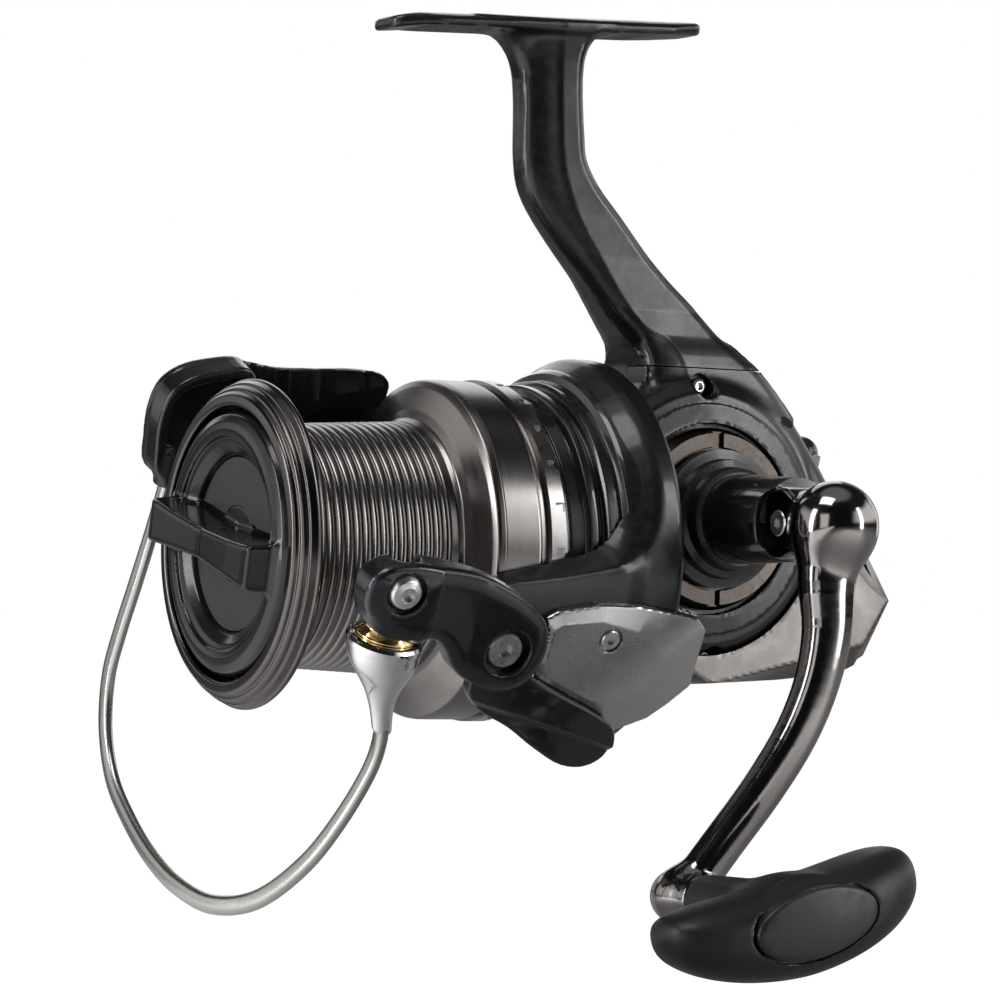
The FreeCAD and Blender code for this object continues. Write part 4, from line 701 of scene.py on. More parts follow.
P16 = [(-30, 20), (-45.6, -1.7), (-50.3, -6.3), (-55.5, -9.7), (-48.6, -20.6), (-40, -23.2), (-26.3, -25.9), (-8.1, -30.2), (-2.2, -30.8), (6, -26), (-3, -10)]
P10 = [(-38, 21), (-53.5, 1.1), (-60.2, -9.7), (-50.0, -26.0), (-45.1, -28.1), (-26.8, -29.9), (-6.4, -31.0), (2, -31.3), (6, -26.4), (-3, -10)]
P5 = [(-44.6, 15.6), (-53.9, 1.6), (-63.5, -9.6), (-55.9, -23.7), (-47.8, -28.3), (-26.8, -30.1), (2.0, -31.3), (6.0, -26.4), (-3, -10), (-30, 12)]
T_P16, T_P10, T_P5 = poly_table(P16, 14), poly_table(P10, 14), poly_table(P5, 14)


def rear_field(x, y, z):
    ay = np.abs(y)
    a, b, c = T_P5(x, z), T_P10(x, z), T_P16(x, z)
    s = np.clip((ay - 5.4) / 4.6, 0, 1)
    t = np.clip((ay - 10.0) / 6.5, 0, 1.2)
    d = (a * (1 - s) + b * s) * (1 - t) + c * t
    d = smax(d * 0.8, ay - 16.5, 0.5)
    inner = np.minimum(np.maximum(T_CORE(x, z), ay - 13.6), np.maximum(np.sqrt(x * x + (z - CZ) ** 2) - 33.3, ay - 19)) - 0.12
    d = np.maximum(d, -inner)
    return d


HQ = 0.6
solid("body_casting", body_field, (-57, -21, -30.5), (86, 16.5, 133.5), HQ, M_PAINT, "root", ("reel_body",), slack=1.25)
solid("side_cover_shell", side_field, (-57, 1.2, -30.5), (24, 20.2, 47), 0.5, M_PAINT, "root", ("side_cover",), slack=1.2)
def tip_field(x, y, z):
    e = (np.sqrt(((x + 41.0) / 4.4) ** 2 + ((y + 3.6) / 5.4) ** 2 + ((z - 26.9) / 4.4) ** 2) - 1) * 4.2
    stem = smax(smax(np.abs(y) - 2.1, np.abs((x + 38.4) * 0.56 + (z - 24.0) * 0.83) - 4.6, 0.6), np.abs((x + 38.4) * 0.83 - (z - 24.0) * 0.56) - 1.5, 0.6)
    return smin(e, stem, 1.0)


solid("reverse_lever_tip", tip_field, (-47, -10, 17), (-30, 2.6, 33), 0.4, M_BOOT, "anti_reverse", (), slack=1.4)

# cover screws: a bright one under the leg, and a dark one deep at the bottom whose dark steel is painted shade
_hd = [(0.0, 0.0), (0.0, 2.0), (1.3, 2.1), (2.1, 1.8), (2.45, 1.25), (2.45, 0.95), (1.5, 0.9), (1.5, 0.0)]
for _n, _sx, _sy, _sz, _m in (("cover_screw_top", 0.6, 11.4, 41.6, M_SCREW), ("cover_screw_low", -3.6, 10.2, -24.6, M_DARKSTEEL)):
    v, q = turn(_hd, 48, axis="y")
    make(_n, v + np.array([_sx, _sy, _sz]), q, _m, "root", ("cover_screws",) if _n == "cover_screw_top" else (), sharp=30)
solid("rear_cover_shell", rear_field, (-65, -17.5, -32.6), (8, 17.5, 21), 0.55, M_REAR_SHADED, "root", ("rear_cover", "rear_cover_screws"), sharp=20, slack=1.25)


# ------------------------------------------------------------------ crank arm and its knob
ARM_PATH = [((1.0, 72.0, 3.0), 15.0, 12.5), ((2.2, 72.6, -5.0), 13.4, 10.6), ((2.2, 73.2, -16.0), 11.6, 9.4), ((4.6, 73.2, -28.0), 10.4, 8.8), ((9.4, 72.4, -40.0), 9.9, 8.5),
            ((17.0, 70.8, -52.5), 9.7, 8.2), ((26.0, 68.6, -65.0), 9.6, 8.0), ((34.6, 66.2, -77.2), 9.8, 8.4)]
_ap = np.array(catmull([c for c, w, d in ARM_PATH], 4))
_aw = np.array(catmull([(w, d, 0.0) for c, w, d in ARM_PATH], 4))


def beam_field(x, y, z, path, size, power=2.6, side=(1, 0, 0)):
    """A bar of oval section along a path, sized width across 'side' and depth square to it."""
    best = np.full(x.shape, 1e9)
    e_best = np.full(x.shape, 1e9)
    for i in range(len(path) - 1):
        a, b = path[i], path[i + 1]
        ab = b - a
        L2 = float(ab @ ab)
        t = np.clip(((x - a[0]) * ab[0] + (y - a[1]) * ab[1] + (z - a[2]) * ab[2]) / L2, 0, 1)
        dx, dy, dz = x - a[0] - ab[0] * t, y - a[1] - ab[1] * t, z - a[2] - ab[2] * t
        d2 = dx * dx + dy * dy + dz * dz
        tn = ab / math.sqrt(L2)
        s = np.array(side, float) - (np.array(side, float) @ tn) * tn
        s /= np.linalg.norm(s)
        u = np.cross(tn, s)
        w = (size[i][0] * (1 - t) + size[i + 1][0] * t) / 2
        h = (size[i][1] * (1 - t) + size[i + 1][1] * t) / 2
        p = np.abs(dx * s[0] + dy * s[1] + dz * s[2])
        q = np.abs(dx * u[0] + dy * u[1] + dz * u[2])
        r = np.abs(dx * tn[0] + dy * tn[1] + dz * tn[2])
        e = (((p / w) ** power + (q / h) ** power + (r / h) ** power) ** (1 / power) - 1) * np.minimum(w, h) * 0.9
        take = d2 < best
        best = np.where(take, d2, best)
        e_best = np.where(take, e, e_best)
    return e_best


def crank_field(x, y, z):
    bar = beam_field(x, y, z, _ap, _aw)
    b1 = ball(x, y, z, (0, 72, 8.1), 10.3)
    # the ball's flanks are pressed slightly flat where the arm leaves it
    kn = smax(np.sqrt((y - 60) ** 2 + (z - 8.3) ** 2) - 8.5, np.abs(x) - 7.8, 1.2)
    d = smin(b1, kn, 2.0)
    d = smin(d, bar, 3.5)
    b2 = ball(x, y, z, (34.8, 66, -77.8), 7.2)
    d = smin(d, b2, 2.5)
    boss = cyl(y, np.sqrt((x - 34.8) ** 2 + (z + 77.8) ** 2), 60.0, 74.4, 5.6, 0.8)
    d = smin(d, boss, 1.5)
    # fork for the shank's tongue
    slot = np.maximum(np.abs(x) - 3.3, smin(np.maximum(np.sqrt((y - 60) ** 2 + (z - 8.3) ** 2) - 6.4, -50), np.maximum(y - 60, np.abs(z - 8.3) - 12.5), 0.5))
    d = smax(d, -slot, 0.4)
    q = np.sqrt((y - 60) ** 2 + (z - 8.3) ** 2)
    d = smax(d, -cyl(x, q, 7.0, 30, 2.9, 0.0), 0.35)
    d = np.maximum(d, -cyl(-x, q, 7.2, 30, 2.6, 0.0))
    return d


solid("crank_arm_shell", crank_field, (-12, 50, -87), (44, 84, 20), 0.45, M_GUN, "crank_arm", ("handle_arm",), slack=1.3)

KX, KZ, KY1 = 34.8, -77.8, 121.0
BA = rad(13.0)


def knob_field(x, y, z):
    dx, dz = x - KX, z - KZ
    u = dx * math.cos(BA) - dz * math.sin(BA)        # along the bar, forward and down
    v = dx * math.sin(BA) + dz * math.cos(BA)        # across it
    w = y - 108.0
    au = np.abs(u)
    # the bar thins and drops back towards its ends
    tt = np.clip(au / 33.6, 0, 1.2)
    cap = np.maximum(1 - tt ** 5.5, 0.0) ** 0.5
    hv = (10.9 - 2.9 * tt ** 1.6) * (0.12 + 0.88 * cap) * (1.0 - 0.10 * np.clip(u / 30.0, -1, 1))
    hw = (12.6 - 2.4 * tt ** 1.6) * (0.12 + 0.88 * cap)
    yc = -0.8 * tt ** 2
    v = v + 3.1 - 3.9 * (au / 29.0) ** 2
    e = ((np.abs(v) / hv) ** 2.3 + (np.abs(w - yc) / hw) ** 2.3) ** (1 / 2.3)
    tee = (e - 1) * hv * 0.85
    tee = smax(tee, au - 33.2, 3.0)
    r = np.sqrt(dx * dx + dz * dz)
    nr = np.interp(y, [74, 76, 80, 92, 100, 108], [5.6, 5.9, 6.1, 6.5, 7.4, 8.6])
    neck = smax((r - nr) * 0.97, np.maximum(74.8 - y, y - 112), 1.0)
    d = smin(tee, neck, 3.4)
    d = smax(d, y - 120.55, 2.2)
    v0 = dx * math.sin(BA) + dz * math.cos(BA)
    el = np.sqrt(((u - 0.0) / 16.6) ** 2 + ((v0 + 1.0) / 8.2) ** 2)
    seat = np.maximum((el - 1) * 8.0, 117.5 - y)
    d = smax(d, -seat, 0.35)
    return d


def cap_field(x, y, z):
    dx, dz = x - KX, z - KZ
    u = dx * math.cos(BA) - dz * math.sin(BA)
    v = dx * math.sin(BA) + dz * math.cos(BA)
    el = np.sqrt((u / 15.9) ** 2 + ((v + 1.0) / 7.5) ** 2)
    dome = y - (121.0 - 0.75 * np.minimum(el, 1.2) ** 2)
    return smax(np.maximum((el - 1) * 6.6, 116.9 - y), dome, 0.8)


solid("grip_knob", knob_field, (-1, 74, -96), (70.5, 122, -59.5), 0.55, M_SOFT, "knob", ("handle_knob",), slack=1.3)
solid("grip_cap", cap_field, (17, 116, -90), (53, 122.2, -67), 0.35, M_CAP, "knob", ("knob_cap",), slack=1.3)


# ------------------------------------------------------------------ rotor: loops, arms and stepped sleeve
def local(x, y, z):
    return x - PX, y * AV[1] + z * AV[2], y * BV[1] + z * BV[2]


def world(X, s, b):
    return (X + PX, s * AV[1] + b * BV[1], s * AV[2] + b * BV[2])


# front edge of the shell at its inner radius, unrolled: (along the shaft, arc from the arm's middle)
FRONT = [(38.0, 90), (38.0, 47.3), (37.3, 38.5), (37.7, 31.0), (39.6, 24.6), (45.7, 19.0), (56.4, 16.1), (66.9, 13.8), (77.2, 11.6), (81.6, 9.4), (83.9, 5.0), (84.4, 0.0), (83.2, -5.2),
         (80.0, -9.0), (74.0, -11.0), (61.0, -14.4), (51.0, -19.0), (44.0, -24.5), (40.2, -31.0), (38.4, -38.5), (38.0, -47.3), (38.0, -90)]
_front = catmull(FRONT, 3)
SHELL_POLY = [(10, 90)] + list(_front) + [(10, -90)]
T_SHELL = poly_table(SHELL_POLY, 10)



def shell_field(x, y, z):
    X, s, b = local(x, y, z)
    R = np.sqrt(y * y + z * z)
    th = np.arctan2(b, np.abs(s))
    # the far arm is the near one seen from its own side, with the same sense across
    t = th * 43.0
    f = T_SHELL(x, t)
    wdt = np.interp(x, [20, 36, 39, 43, 48, 58, 69, 84], [6.4, 6.2, 5.0, 3.2, 2.3, 1.8, 0.8, 0.5])
    bev = (f + wdt * (R - 43.0) / 4.0) / np.sqrt(1 + (wdt / 4.0) ** 2)
    arm = np.clip((x - 34) / 8.0, 0, 1)
    arm = arm * arm * (3 - 2 * arm) * np.clip((32 - np.abs(b)) / 8.0, 0, 1)
    rout = 47.2 + 0.8 * arm
    rin = 43.2 - 1.7 * arm
    d = smax(R - rout, rin - R, 0.6)
    d = smax(d, np.abs(s) - 48.0, 0.5)
    rear = 24.5 - x + np.maximum(R - 46.0, 0) * 0.9
    d = smax(d, rear * 0.8, 0.6)
    d = smax(d, bev, 0.8)
    return d


SLEEVE = rounded([(26.0, 44.2), (24.6, 46.0), (30.0, 46.6), (36.9, 44.0), (37.8, 43.4), (38.3, 41.6), (39.2, 41.3), (41.6, 41.3), (42.1, 40.4), (42.3, 39.2), (43.0, 39.0), (43.9, 39.2), (44.3, 40.3),
                  (46.1, 40.2), (46.4, 39.4), (46.5, 38.1), (50.2, 38.0), (50.4, 37.4), (51.0, 37.4), (51.2, 38.0), (55.6, 38.0), (56.0, 37.4), (56.0, 36.0), (41.8, 36.0), (41.8, 13.0), (46.0, 9.0), (46.0, 4.6),
                  (37.5, 4.6), (37.5, 9.0), (38.6, 13.0), (38.6, 34.0), (34.6, 41.6)], 0.28, 3)
v, q = turn(SLEEVE, 200)
M_SLEEVE = paint("rotor_sleeve_paint", (0.013, 0.0135, 0.014), (0.018, 0.019, 0.0195), metallic=0.6, rough=0.3, flake=0.1, coat_rough=0.07, edge=(0.03, 0.03, 0.03), edge_amount=0.05)
solid("rotor_shell", shell_field, (23.5, -49.5, -49.5), (86, 49.5, 49.5), 0.6, M_PAINT, "rotor", ("rotor",), slack=1.3)
make("rotor_sleeve", v, q, M_SLEEVE, "rotor", ("rotor",), sharp=30)

# ------------------------------------------------------------------ arm covers
COV_A = rounded([(-11.0, 5.2), (-14.9, 7.6), (-25.3, 9.4), (-36.2, 9.2), (-47.6, 7.4), (-53.4, 6.3), (-56.2, 3.4), (-56.0, -11.1), (-51.3, -15.8), (-46.4, -19.8), (-37.3, -23.4), (-23.3, -17.6), (-12.6, -12.4)], 1.2, 4)
COV_IN = rounded([(-14.3, 3.4), (-16.1, 4.8), (-26.7, 5.8), (-37.1, 3.2), (-45.5, -3.0), (-42.2, -12.2), (-33.5, -15.4), (-27.2, -13.8), (-17.3, -9.5), (-14.0, -5.0)], 1.0, 4)
T_CA, T_CI = poly_table(COV_A, 8, 0.2), poly_table(COV_IN, 40, 0.2)


def cover_a_field(x, y, z):
    X, s, b = local(x, y, z)
    R = np.sqrt(y * y + z * z)
    do, di = T_CA(X, b), T_CI(X, b)
    fr = np.clip(-do / np.maximum(-do + np.maximum(di, 0), 0.05), 0, 1)
    fr = np.where(di < 0, 1.0, fr)
    h = 49.2 + 1.2 * fr
    d = smax(do, (s - h) * 0.8, 0.5)
    d = np.maximum(d, np.maximum(44.2 - s, np.where(x > 26.2, 48.1, 47.4) - R))
    bz = np.sqrt(X * X + b * b)
    d = smax(d, 13.4 - bz, 0.4)
    q = np.sqrt((X + 30.0) ** 2 + (b - 1.0) ** 2)
    d = smax(d, -cyl(s, q, 49.1, 60, 3.0, 0.0), 0.3)
    return d


COV_B = rounded([(-14.0, 7.0), (-26, 9.8), (-46, 8.6), (-49, 4.0), (-49, -10.0), (-46, -14.0), (-36, -18.0), (-24, -14.6), (-14.0, -10.0)], 1.5, 4)
T_CB = poly_table(COV_B, 8, 0.2)


def cover_b_field(x, y, z):
    X, s, b = local(x, y, z)
    R = np.sqrt(y * y + z * z)
    do = T_CB(X, b)
    h = 47.9 + 2.0 * np.clip(-do / 3.4, 0, 1)
    d = smax(do, (-s - h) * 0.85, 0.5)
    d = np.maximum(d, np.maximum(44.2 + s, np.where(x > 26.2, 48.1, 47.4) - R))
    bz = np.sqrt(X * X + b * b)
    d = smax(d, 13.4 - bz, 0.4)
    q = np.sqrt((X + 30.0) ** 2 + (b - 1.0) ** 2)
    d = smax(d, -cyl(-s, q, 48.6, 60, 3.0, 0.0), 0.3)
    return d


solid("arm_cover_near", cover_a_field, (15, 28, -46), (65, 52, -8), 0.4, M_SMOKE, "rotor", ("arm_cover_a",), sharp=18, slack=1.3)
solid("arm_cover_far", cover_b_field, (22, -58, -2), (62, -36, 36), 0.5, M_PAINT, "rotor", ("arm_cover_b",), sharp=20, slack=1.3)


# ------------------------------------------------------------------ spool
def ribs(x0, x1, r0, r1, n, amp):
    pts = []
    per = 8
    for i in range(n * per + 1):
        f = i / (n * per)
        pts.append((x0 + (x1 - x0) * f, r0 + (r1 - r0) * f - amp * (0.0, 0.0, 0.06, 0.4, 1.0, 0.4, 0.06, 0.0)[i % per]))
    return pts


def fil(pts, r, steps=4):
    """Rounded corners on an open run of points: the ends stay put."""
    out = [pts[0]]
    for i in range(1, len(pts) - 1):
        a, b, c = np.array(pts[i - 1], float), np.array(pts[i], float), np.array(pts[i + 1], float)
        la, lc = np.linalg.norm(a - b), np.linalg.norm(c - b)
        t = min(r, 0.42 * la, 0.42 * lc)
        q0, q2 = b + (a - b) / la * t, b + (c - b) / lc * t
        for k in range(steps + 1):
            s = k / steps
            out.append(tuple(q0 * (1 - s) ** 2 + b * 2 * s * (1 - s) + q2 * s ** 2))
    out.append(pts[-1])
    return out


front_run = fil([(103.4, 19.2), (115.6, 19.2), (115.6, 32.0), (121.1, 32.0), (121.6, 32.6), (121.5, 34.5), (120.9, 35.2), (120.1, 35.3), (120.0, 36.1), (119.3, 36.7), (118.3, 36.8), (118.2, 37.5), (116.5, 38.0),
                 (116.2, 38.5), (115.3, 38.5), (114.7, 37.9), (113.1, 30.2), (112.3, 28.9), (111.2, 28.3)], 0.45, 4)
drum = ribs(111.2, 77.4, 28.35, 30.15, 15, 0.55)
rear_run = fil([(77.4, 30.15), (76.0, 30.2), (74.9, 31.0), (73.9, 33.2), (72.0, 38.6), (71.2, 40.1), (70.6, 40.35), (69.4, 40.5), (69.2, 40.42), (69.0, 40.5), (60.2, 40.5), (59.5, 40.3), (59.4, 39.5), (57.5, 39.5), (57.5, 38.6), (70.2, 38.6),
                (76, 26.6), (98, 25), (98, 12.0), (81, 12.0), (81, 8.6), (62, 8.6), (62, 4.6), (103.4, 4.6)], 0.3, 3)
SPOOL = front_run + drum[1:] + rear_run[1:]
v, q = turn(SPOOL, 240)
_sp = make("spool_turned", v, q, M_SPOOL, "spool", ("spool",), sharp=30, weighted=True)
# the front lip's faces take the darker copy: painted shade
_sp.data.materials.append(M_LIP_SHADED)
_cx = np.array([p.center[0] for p in _sp.data.polygons])
_sp.data.polygons.foreach_set("material_index", (_cx > 0.1118).astype(np.int32))

# ------------------------------------------------------------------ drag knob
DK = rounded([(112.6, 5.4), (112.6, 8.6), (116.2, 10.0), (116.2, 31.2), (118.6, 31.2), (120.2, 30.95), (121.5, 30.0), (122.35, 28.2), (122.55, 26.6), (122.2, 25.1), (121.5, 24.7), (121.2, 23.4), (119.6, 20.9), (118.2, 20.35), (117.6, 20.2), (117.6, 5.4)],
             [0, 0, 0, 0.3, 0.5, 0.8, 1.0, 1.2, 0.8, 0.3, 0.3, 0.3, 0.6, 0.3, 0.2, 0], 4)
T_DK = poly_table(DK, 14, 0.12)
WB = rad(-12.0)


def drag_field(x, y, z):
    r = np.sqrt(y * y + z * z)
    d = T_DK(x, r)
    u = y * math.cos(WB) + z * math.sin(WB)           # along the bar
    v = -y * math.sin(WB) + z * math.cos(WB)
    au = np.abs(u)
    half = np.interp(au, [0, 2, 14, 22, 27.6, 31], [4.3, 4.3, 4.9, 5.5, 5.9, 6.4])
    top = 129.0 - np.interp(au, [0, 1.2, 16, 24, 27.6], [0.9, 0.75, 0.1, 0.0, 0.5])
    lean = np.clip(x - 119.0, 0, 10) * 0.07            # sides lean in towards the front
    bar = smax((np.abs(v) - half + lean), smax(x - top, au - 27.6 + np.clip(x - 121, 0, 9) * 0.12, 0.9), 1.1)
    bar = np.maximum(bar, 116.6 - x)
    # each half of the bar flares into the rim
    fl = smin(d, bar, 1.8)
    d = smin(fl, cyl(x, r, 116.8, 118.5, 9.0, 0.2), 0.7)
    d = np.maximum(d, -cyl(x, r, 100, 124.2, 2.65, 0))
    return d


solid("drag_knob_shell", drag_field, (112, -32, -32), (130, 32, 32), 0.4, M_KNOB, "drag_knob", ("drag_knob",), slack=1.3)

# ------------------------------------------------------------------ bail arm, cone, wire, far lever
BAIL = catmull([(40.4, 12.4), (40.4, 17.4), (36.9, 21.0), (31.0, 22.1), (23.5, 21.5), (12.2, 19.2), (3.0, 15.6), (-4.4, 11.4), (-8.4, 7.6), (-10.4, 3.2), (-10.4, -1.8), (-7.8, -7.0), (-3.4, -9.6), (2.5, -9.6),
                (9.0, -7.4), (13.6, -3.8), (16.6, 0.4), (20.0, 3.2), (27.5, 4.0), (34.4, 6.2), (38.6, 9.2)], 4, closed=True)
T_BAIL = poly_table(BAIL, 10, 0.2)
TAIL = catmull([(-36.3, -24.4), (-34.9, -20.2), (-29.4, -16.8), (-20.9, -12.9), (-11.7, -8.4), (-4.0, -4.0), (5.0, -4.6), (6.6, -10.6), (2.3, -15.8), (-7.5, -20.9), (-15.7, -26.2), (-24.5, -30.7), (-31.0, -30.9), (-35.2, -28.2)], 4, closed=True)
T_TAIL = poly_table(TAIL, 10, 0.2)


def bail_field(x, y, z):
    X, s, b = local(x, y, z)
    f = T_BAIL(X, b)
    # domed top: falls away from the middle line, with a lip round the lower tail
    dep = np.clip(-f, 0, 6)
    top = 54.6 + 1.4 * np.sqrt(np.clip(1 - (1 - dep / 4.2) ** 2, 0, 1)) * np.where(dep < 4.2, 1, 1) + 0.0 * X
    top = np.where(dep >= 4.2, 56.0, top) + 2.3 * np.clip((X - 10.0) / 13.0, 0, 1) ** 1.2
    d = smax(f, (s - top) * 0.9, 0.9)
    d = smax(d, 50.5 - s, 0.6)
    # the paddle lies lower and behind: a flat slab with a lower lip along its outer edge
    g = T_TAIL(X, b)
    lip = np.clip(((b + 13.0) - (X - 4.0) * 0.30) / -1.6, 0, 1)
    slab = 53.9 - 1.5 * lip + 0.4 * np.clip((b + 20) / 10.0, 0, 1)
    tail = smax(smax(g, (s - slab) * 0.9, 0.8), 50.6 - s, 0.5)
    d = smin(d, tail, 0.5)
    # the head wraps over the roller as a hood, open to the spool's side
    q = np.sqrt((X - 30.6) ** 2 + (s - 52.2) ** 2)
    lug = smax(smax(cyl(b, q, 3.2, 17.6, 8.3, 1.2), (4.6 + (X - 30.6) * 0.42 + (52.2 - s) * 0.25) - b, 0.5), s - 58.3, 1.4)
    d = smin(d, lug, 2.0)
    bz = np.sqrt(X * X + b * b)
    d = np.maximum(d, -cyl(b, q, -10.0, 9.95, 5.5, 0.0))
    d = smax(d, -cyl(s, bz, 52.7, 70, 5.7, 0.0), 0.5)
    d = np.maximum(d, -cyl(s, bz, 40, 60, 2.96, 0))
    # button screw seat in the face above the roller
    q2 = np.sqrt((X - 31.4) ** 2 + (b - 15.4) ** 2)
    d = smax(d, -cyl(s, q2, 57.0, 70, 4.9, 0.0), 0.35)
    qr = np.sqrt((X - 30.6) ** 2 + (s - 52.2) ** 2)
    d = smax(d, -cyl(b, qr, 18.4, 30, 3.5, 0), 0.3)
    d = np.maximum(d, -cyl(b, qr, 5, 16.0, 1.55, 0))
    return d


solid("bail_arm_shell", bail_field, (35, 30, -56), (116, 66, 3), 0.42, M_PAINT_ARM, "bail", ("bail_arm",), slack=1.35)


def to_world(pts):
    p = np.asarray(pts, float)
    return np.stack([p[:, 0] + PX, p[:, 1] * AV[1] + p[:, 2] * BV[1], p[:, 1] * AV[2] + p[:, 2] * BV[2]], 1)


# button head screw, along the arm's outward direction
HEAD = rounded([(55.0, 0.0), (55.0, 4.2), (57.6, 4.3), (58.8, 3.4), (59.3, 2.0), (59.3, 1.65), (57.9, 1.6), (57.9, 0.0)], [0, 0, 0.4, 0.8, 0.3, 0.1, 0, 0], 4)
v, q = turn(HEAD, 64, axis="y")
v = v + np.array([31.4, 0, 15.4])
make("bail_face_screw", to_world(v), q, M_SCREW, "bail", ("roller_screw",), sharp=30)
ROLL = rounded([(2.6, 4.1), (2.6, 7.0), (3.1, 7.1), (3.9, 6.2), (4.8, 5.3), (8.0, 5.0), (9.3, 5.2), (9.7, 5.0), (9.7, 4.1)], [0, 0.2, 0.3, 0.8, 1.0, 0.8, 0.3, 0.2, 0], 3)
v, q = turn(ROLL, 96, axis="z")
make("line_roller_turned", to_world(v + np.array([30.6, 52.2, 0])), q, M_GOLD, "roller", ("line_roller",), sharp=30)

CONE = [(2.5, 0.0), (2.5, 7.4), (2.2, 8.3), (1.5, 8.85), (0.6, 8.9), (-0.4, 8.6)] + [(a, r) for a, r in catmull([(-0.4, 8.6), (-2.4, 8.3), (-4.6, 7.6), (-6.8, 6.4), (-8.8, 5.2), (-11.0, 4.1), (-13.4, 3.3), (-16.0, 2.75), (-18.6, 2.45), (-20.6, 2.3)], 4)][1:] + [(-21.2, 1.9), (-21.3, 0.0)]
v, q = turn(CONE, 96, axis="z")
v = v + np.array([30.6, 52.2, 0])
_t = np.clip((1.0 - v[:, 2]) / 22.0, 0, 1.1)
v[:, 0] -= 4.4 * _t ** 1.25
v[:, 1] += 1.2 * _t ** 1.25
make("bail_cone_turned", to_world(v), q, M_CHROME, "bail", ("bail_cone",), sharp=30)

WIRE = [(27.6, 53.1, -14.0), (26.6, 53.4, -19.0), (26.2, 53.6, -24.0), (27.0, 54.0, -30.0), (31.0, 53.6, -43.0), (36.0, 51.0, -56.5), (42.0, 43.5, -70.0), (47.0, 33.0, -77.0), (50.0, 20.0, -79.3),
        (51.0, 6.0, -79.4), (51.0, -9.0, -77.6), (50.5, -23.5, -73.8), (49.6, -34.6, -65.4), (48.8, -40.4, -54.0), (47.6, -41.8, -43.0), (46.0, -42.6, -31.0), (44.2, -43.8, -18.0), (42.6, -45.2, -4.0), (42.3, -45.6, 3.0)]
_wp = np.array(catmull(WIRE, 8))


def sweep(path, wide, thin, ref, n=20, power=2.3):
    """An oval bar swept along a path; 'ref' is the direction its thin side faces at each point."""
    path = np.asarray(path)
    t = np.gradient(path, axis=0)
    t /= np.linalg.norm(t, axis=1, keepdims=True)
    rings = []
    for i in range(len(path)):
        r = ref(path[i]) if callable(ref) else np.array(ref, float)
        r = r - (r @ t[i]) * t[i]
        r /= np.linalg.norm(r)
        u = np.cross(t[i], r)
        w = 2 * np.pi * np.arange(n) / n
        c, s = np.cos(w), np.sin(w)
        f = (np.abs(c) ** power + np.abs(s) ** power) ** (-1 / power)
        a, b = wide[i] if hasattr(wide, "__len__") else wide, thin[i] if hasattr(thin, "__len__") else thin
        rings.append(path[i] + (u * (a / 2)) * (c * f)[:, None] + (r * (b / 2)) * (s * f)[:, None])
    v = np.concatenate(rings)
    m = len(path)
    f = [[i * n + j, i * n + (j + 1) % n, (i + 1) * n + (j + 1) % n, (i + 1) * n + j] for i in range(m - 1) for j in range(n)]
    f.append([j for j in range(n)][::-1])
    f.append([(m - 1) * n + j for j in range(n)])
    return v, f


_s = np.linspace(0, 1, len(_wp))
_wide = np.interp(_s, [0, 0.03, 0.08, 0.85, 1], [3.6, 4.0, 4.7, 4.7, 3.8])
_thin = np.interp(_s, [0, 0.03, 0.08, 0.85, 1], [3.6, 3.4, 2.9, 2.9, 3.0])
v, f = sweep(_wp, _wide, _thin, lambda p: np.array([1.0, 0.0, 0.0]), 22)
make("bail_wire_bar", to_world(v), f, M_WIRE, "bail", ("bail_wire",), sharp=40)

LEVER = catmull([(46.4, -2.0), (47.9, 5.0), (48.5, 13.0), (46.9, 19.4), (42.6, 23.2), (35.4, 25.4), (26.4, 25.6), (17.0, 24.4), (6.0, 24.6), (-5.0, 25.0), (-13.0, 23.6), (-16.4, 17.0), (-15.0, 8.6), (-13.2, 1.6), (-11.8, -6.4), (-6.0, -11.4), (2.6, -12.6), (12.0, -9.6), (26.0, -5.4), (38.0, -5.6)], 4, closed=True)
T_LEV = poly_table(LEVER, 10, 0.2)
TIP = catmull([(46.0, -2.6), (47.9, 5.0), (48.5, 13.0), (46.9, 19.4), (42.6, 23.2), (35.4, 25.4), (27.6, 26.2), (23.4, 20.0), (19.8, 10.0), (16.6, 0.0), (17.4, -6.4), (26.0, -5.6), (38.0, -5.4)], 4, closed=True)
T_TIP = poly_table(TIP, 10, 0.2)


def lever_field(x, y, z):
    X, s, b = local(x, y, z)
    o = -s
    f = T_LEV(X, b)
    g = T_TIP(X, b)
    dep = np.clip(-f, 0, 5)
    top = 51.6 + 1.9 * np.sqrt(np.clip(1 - (1 - dep / 4.6) ** 2, 0, 1))
    plate = smax(f, (o - top) * 0.9, 0.9)
    plate = smax(plate, 50.3 - o, 0.5)
    R = np.sqrt(y * y + z * z)
    # the tip curls in towards the spool as a hollow cup with a rolled lip
    tip = smax(g, smax(o - 52.0, 43.6 - o, 0.8), 0.9)
    tip = np.maximum(tip, 41.4 - R)
    hollow = smax(smax(g + 2.6, 43.0 - o, 0.3), o - 49.4, 0.6)
    tip = smax(tip, -np.maximum(hollow, -(o - 40)), 0.5)
    d = smin(plate, tip, 1.2)
    bz = np.sqrt(X * X + b * b)
    d = smin(d, cyl(o, bz, 48.7, 54.0, 8.6, 0.8), 1.0)
    d = np.maximum(d, np.where((bz > 12.6) & (X < 15.5), 50.2 - o, -50.0))
    d = smax(d, -cyl(o, bz, 51.6, 70, 5.2, 0), 0.4)
    d = np.maximum(d, -cyl(o, bz, 40, 60, 2.96, 0))
    pad = np.sqrt((X - 42.3) ** 2 + (s + 45.6) ** 2)
    d = smin(d, np.maximum(cyl(b, pad, -5.4, 3.0, 3.3, 0.8), 41.4 - R), 1.5)
    return d


solid("bail_lever_shell", lever_field, (59, -64, -14), (124, -24, 52), 0.5, M_PAINT_ARM, "bail", ("bail_lever",), slack=1.35)


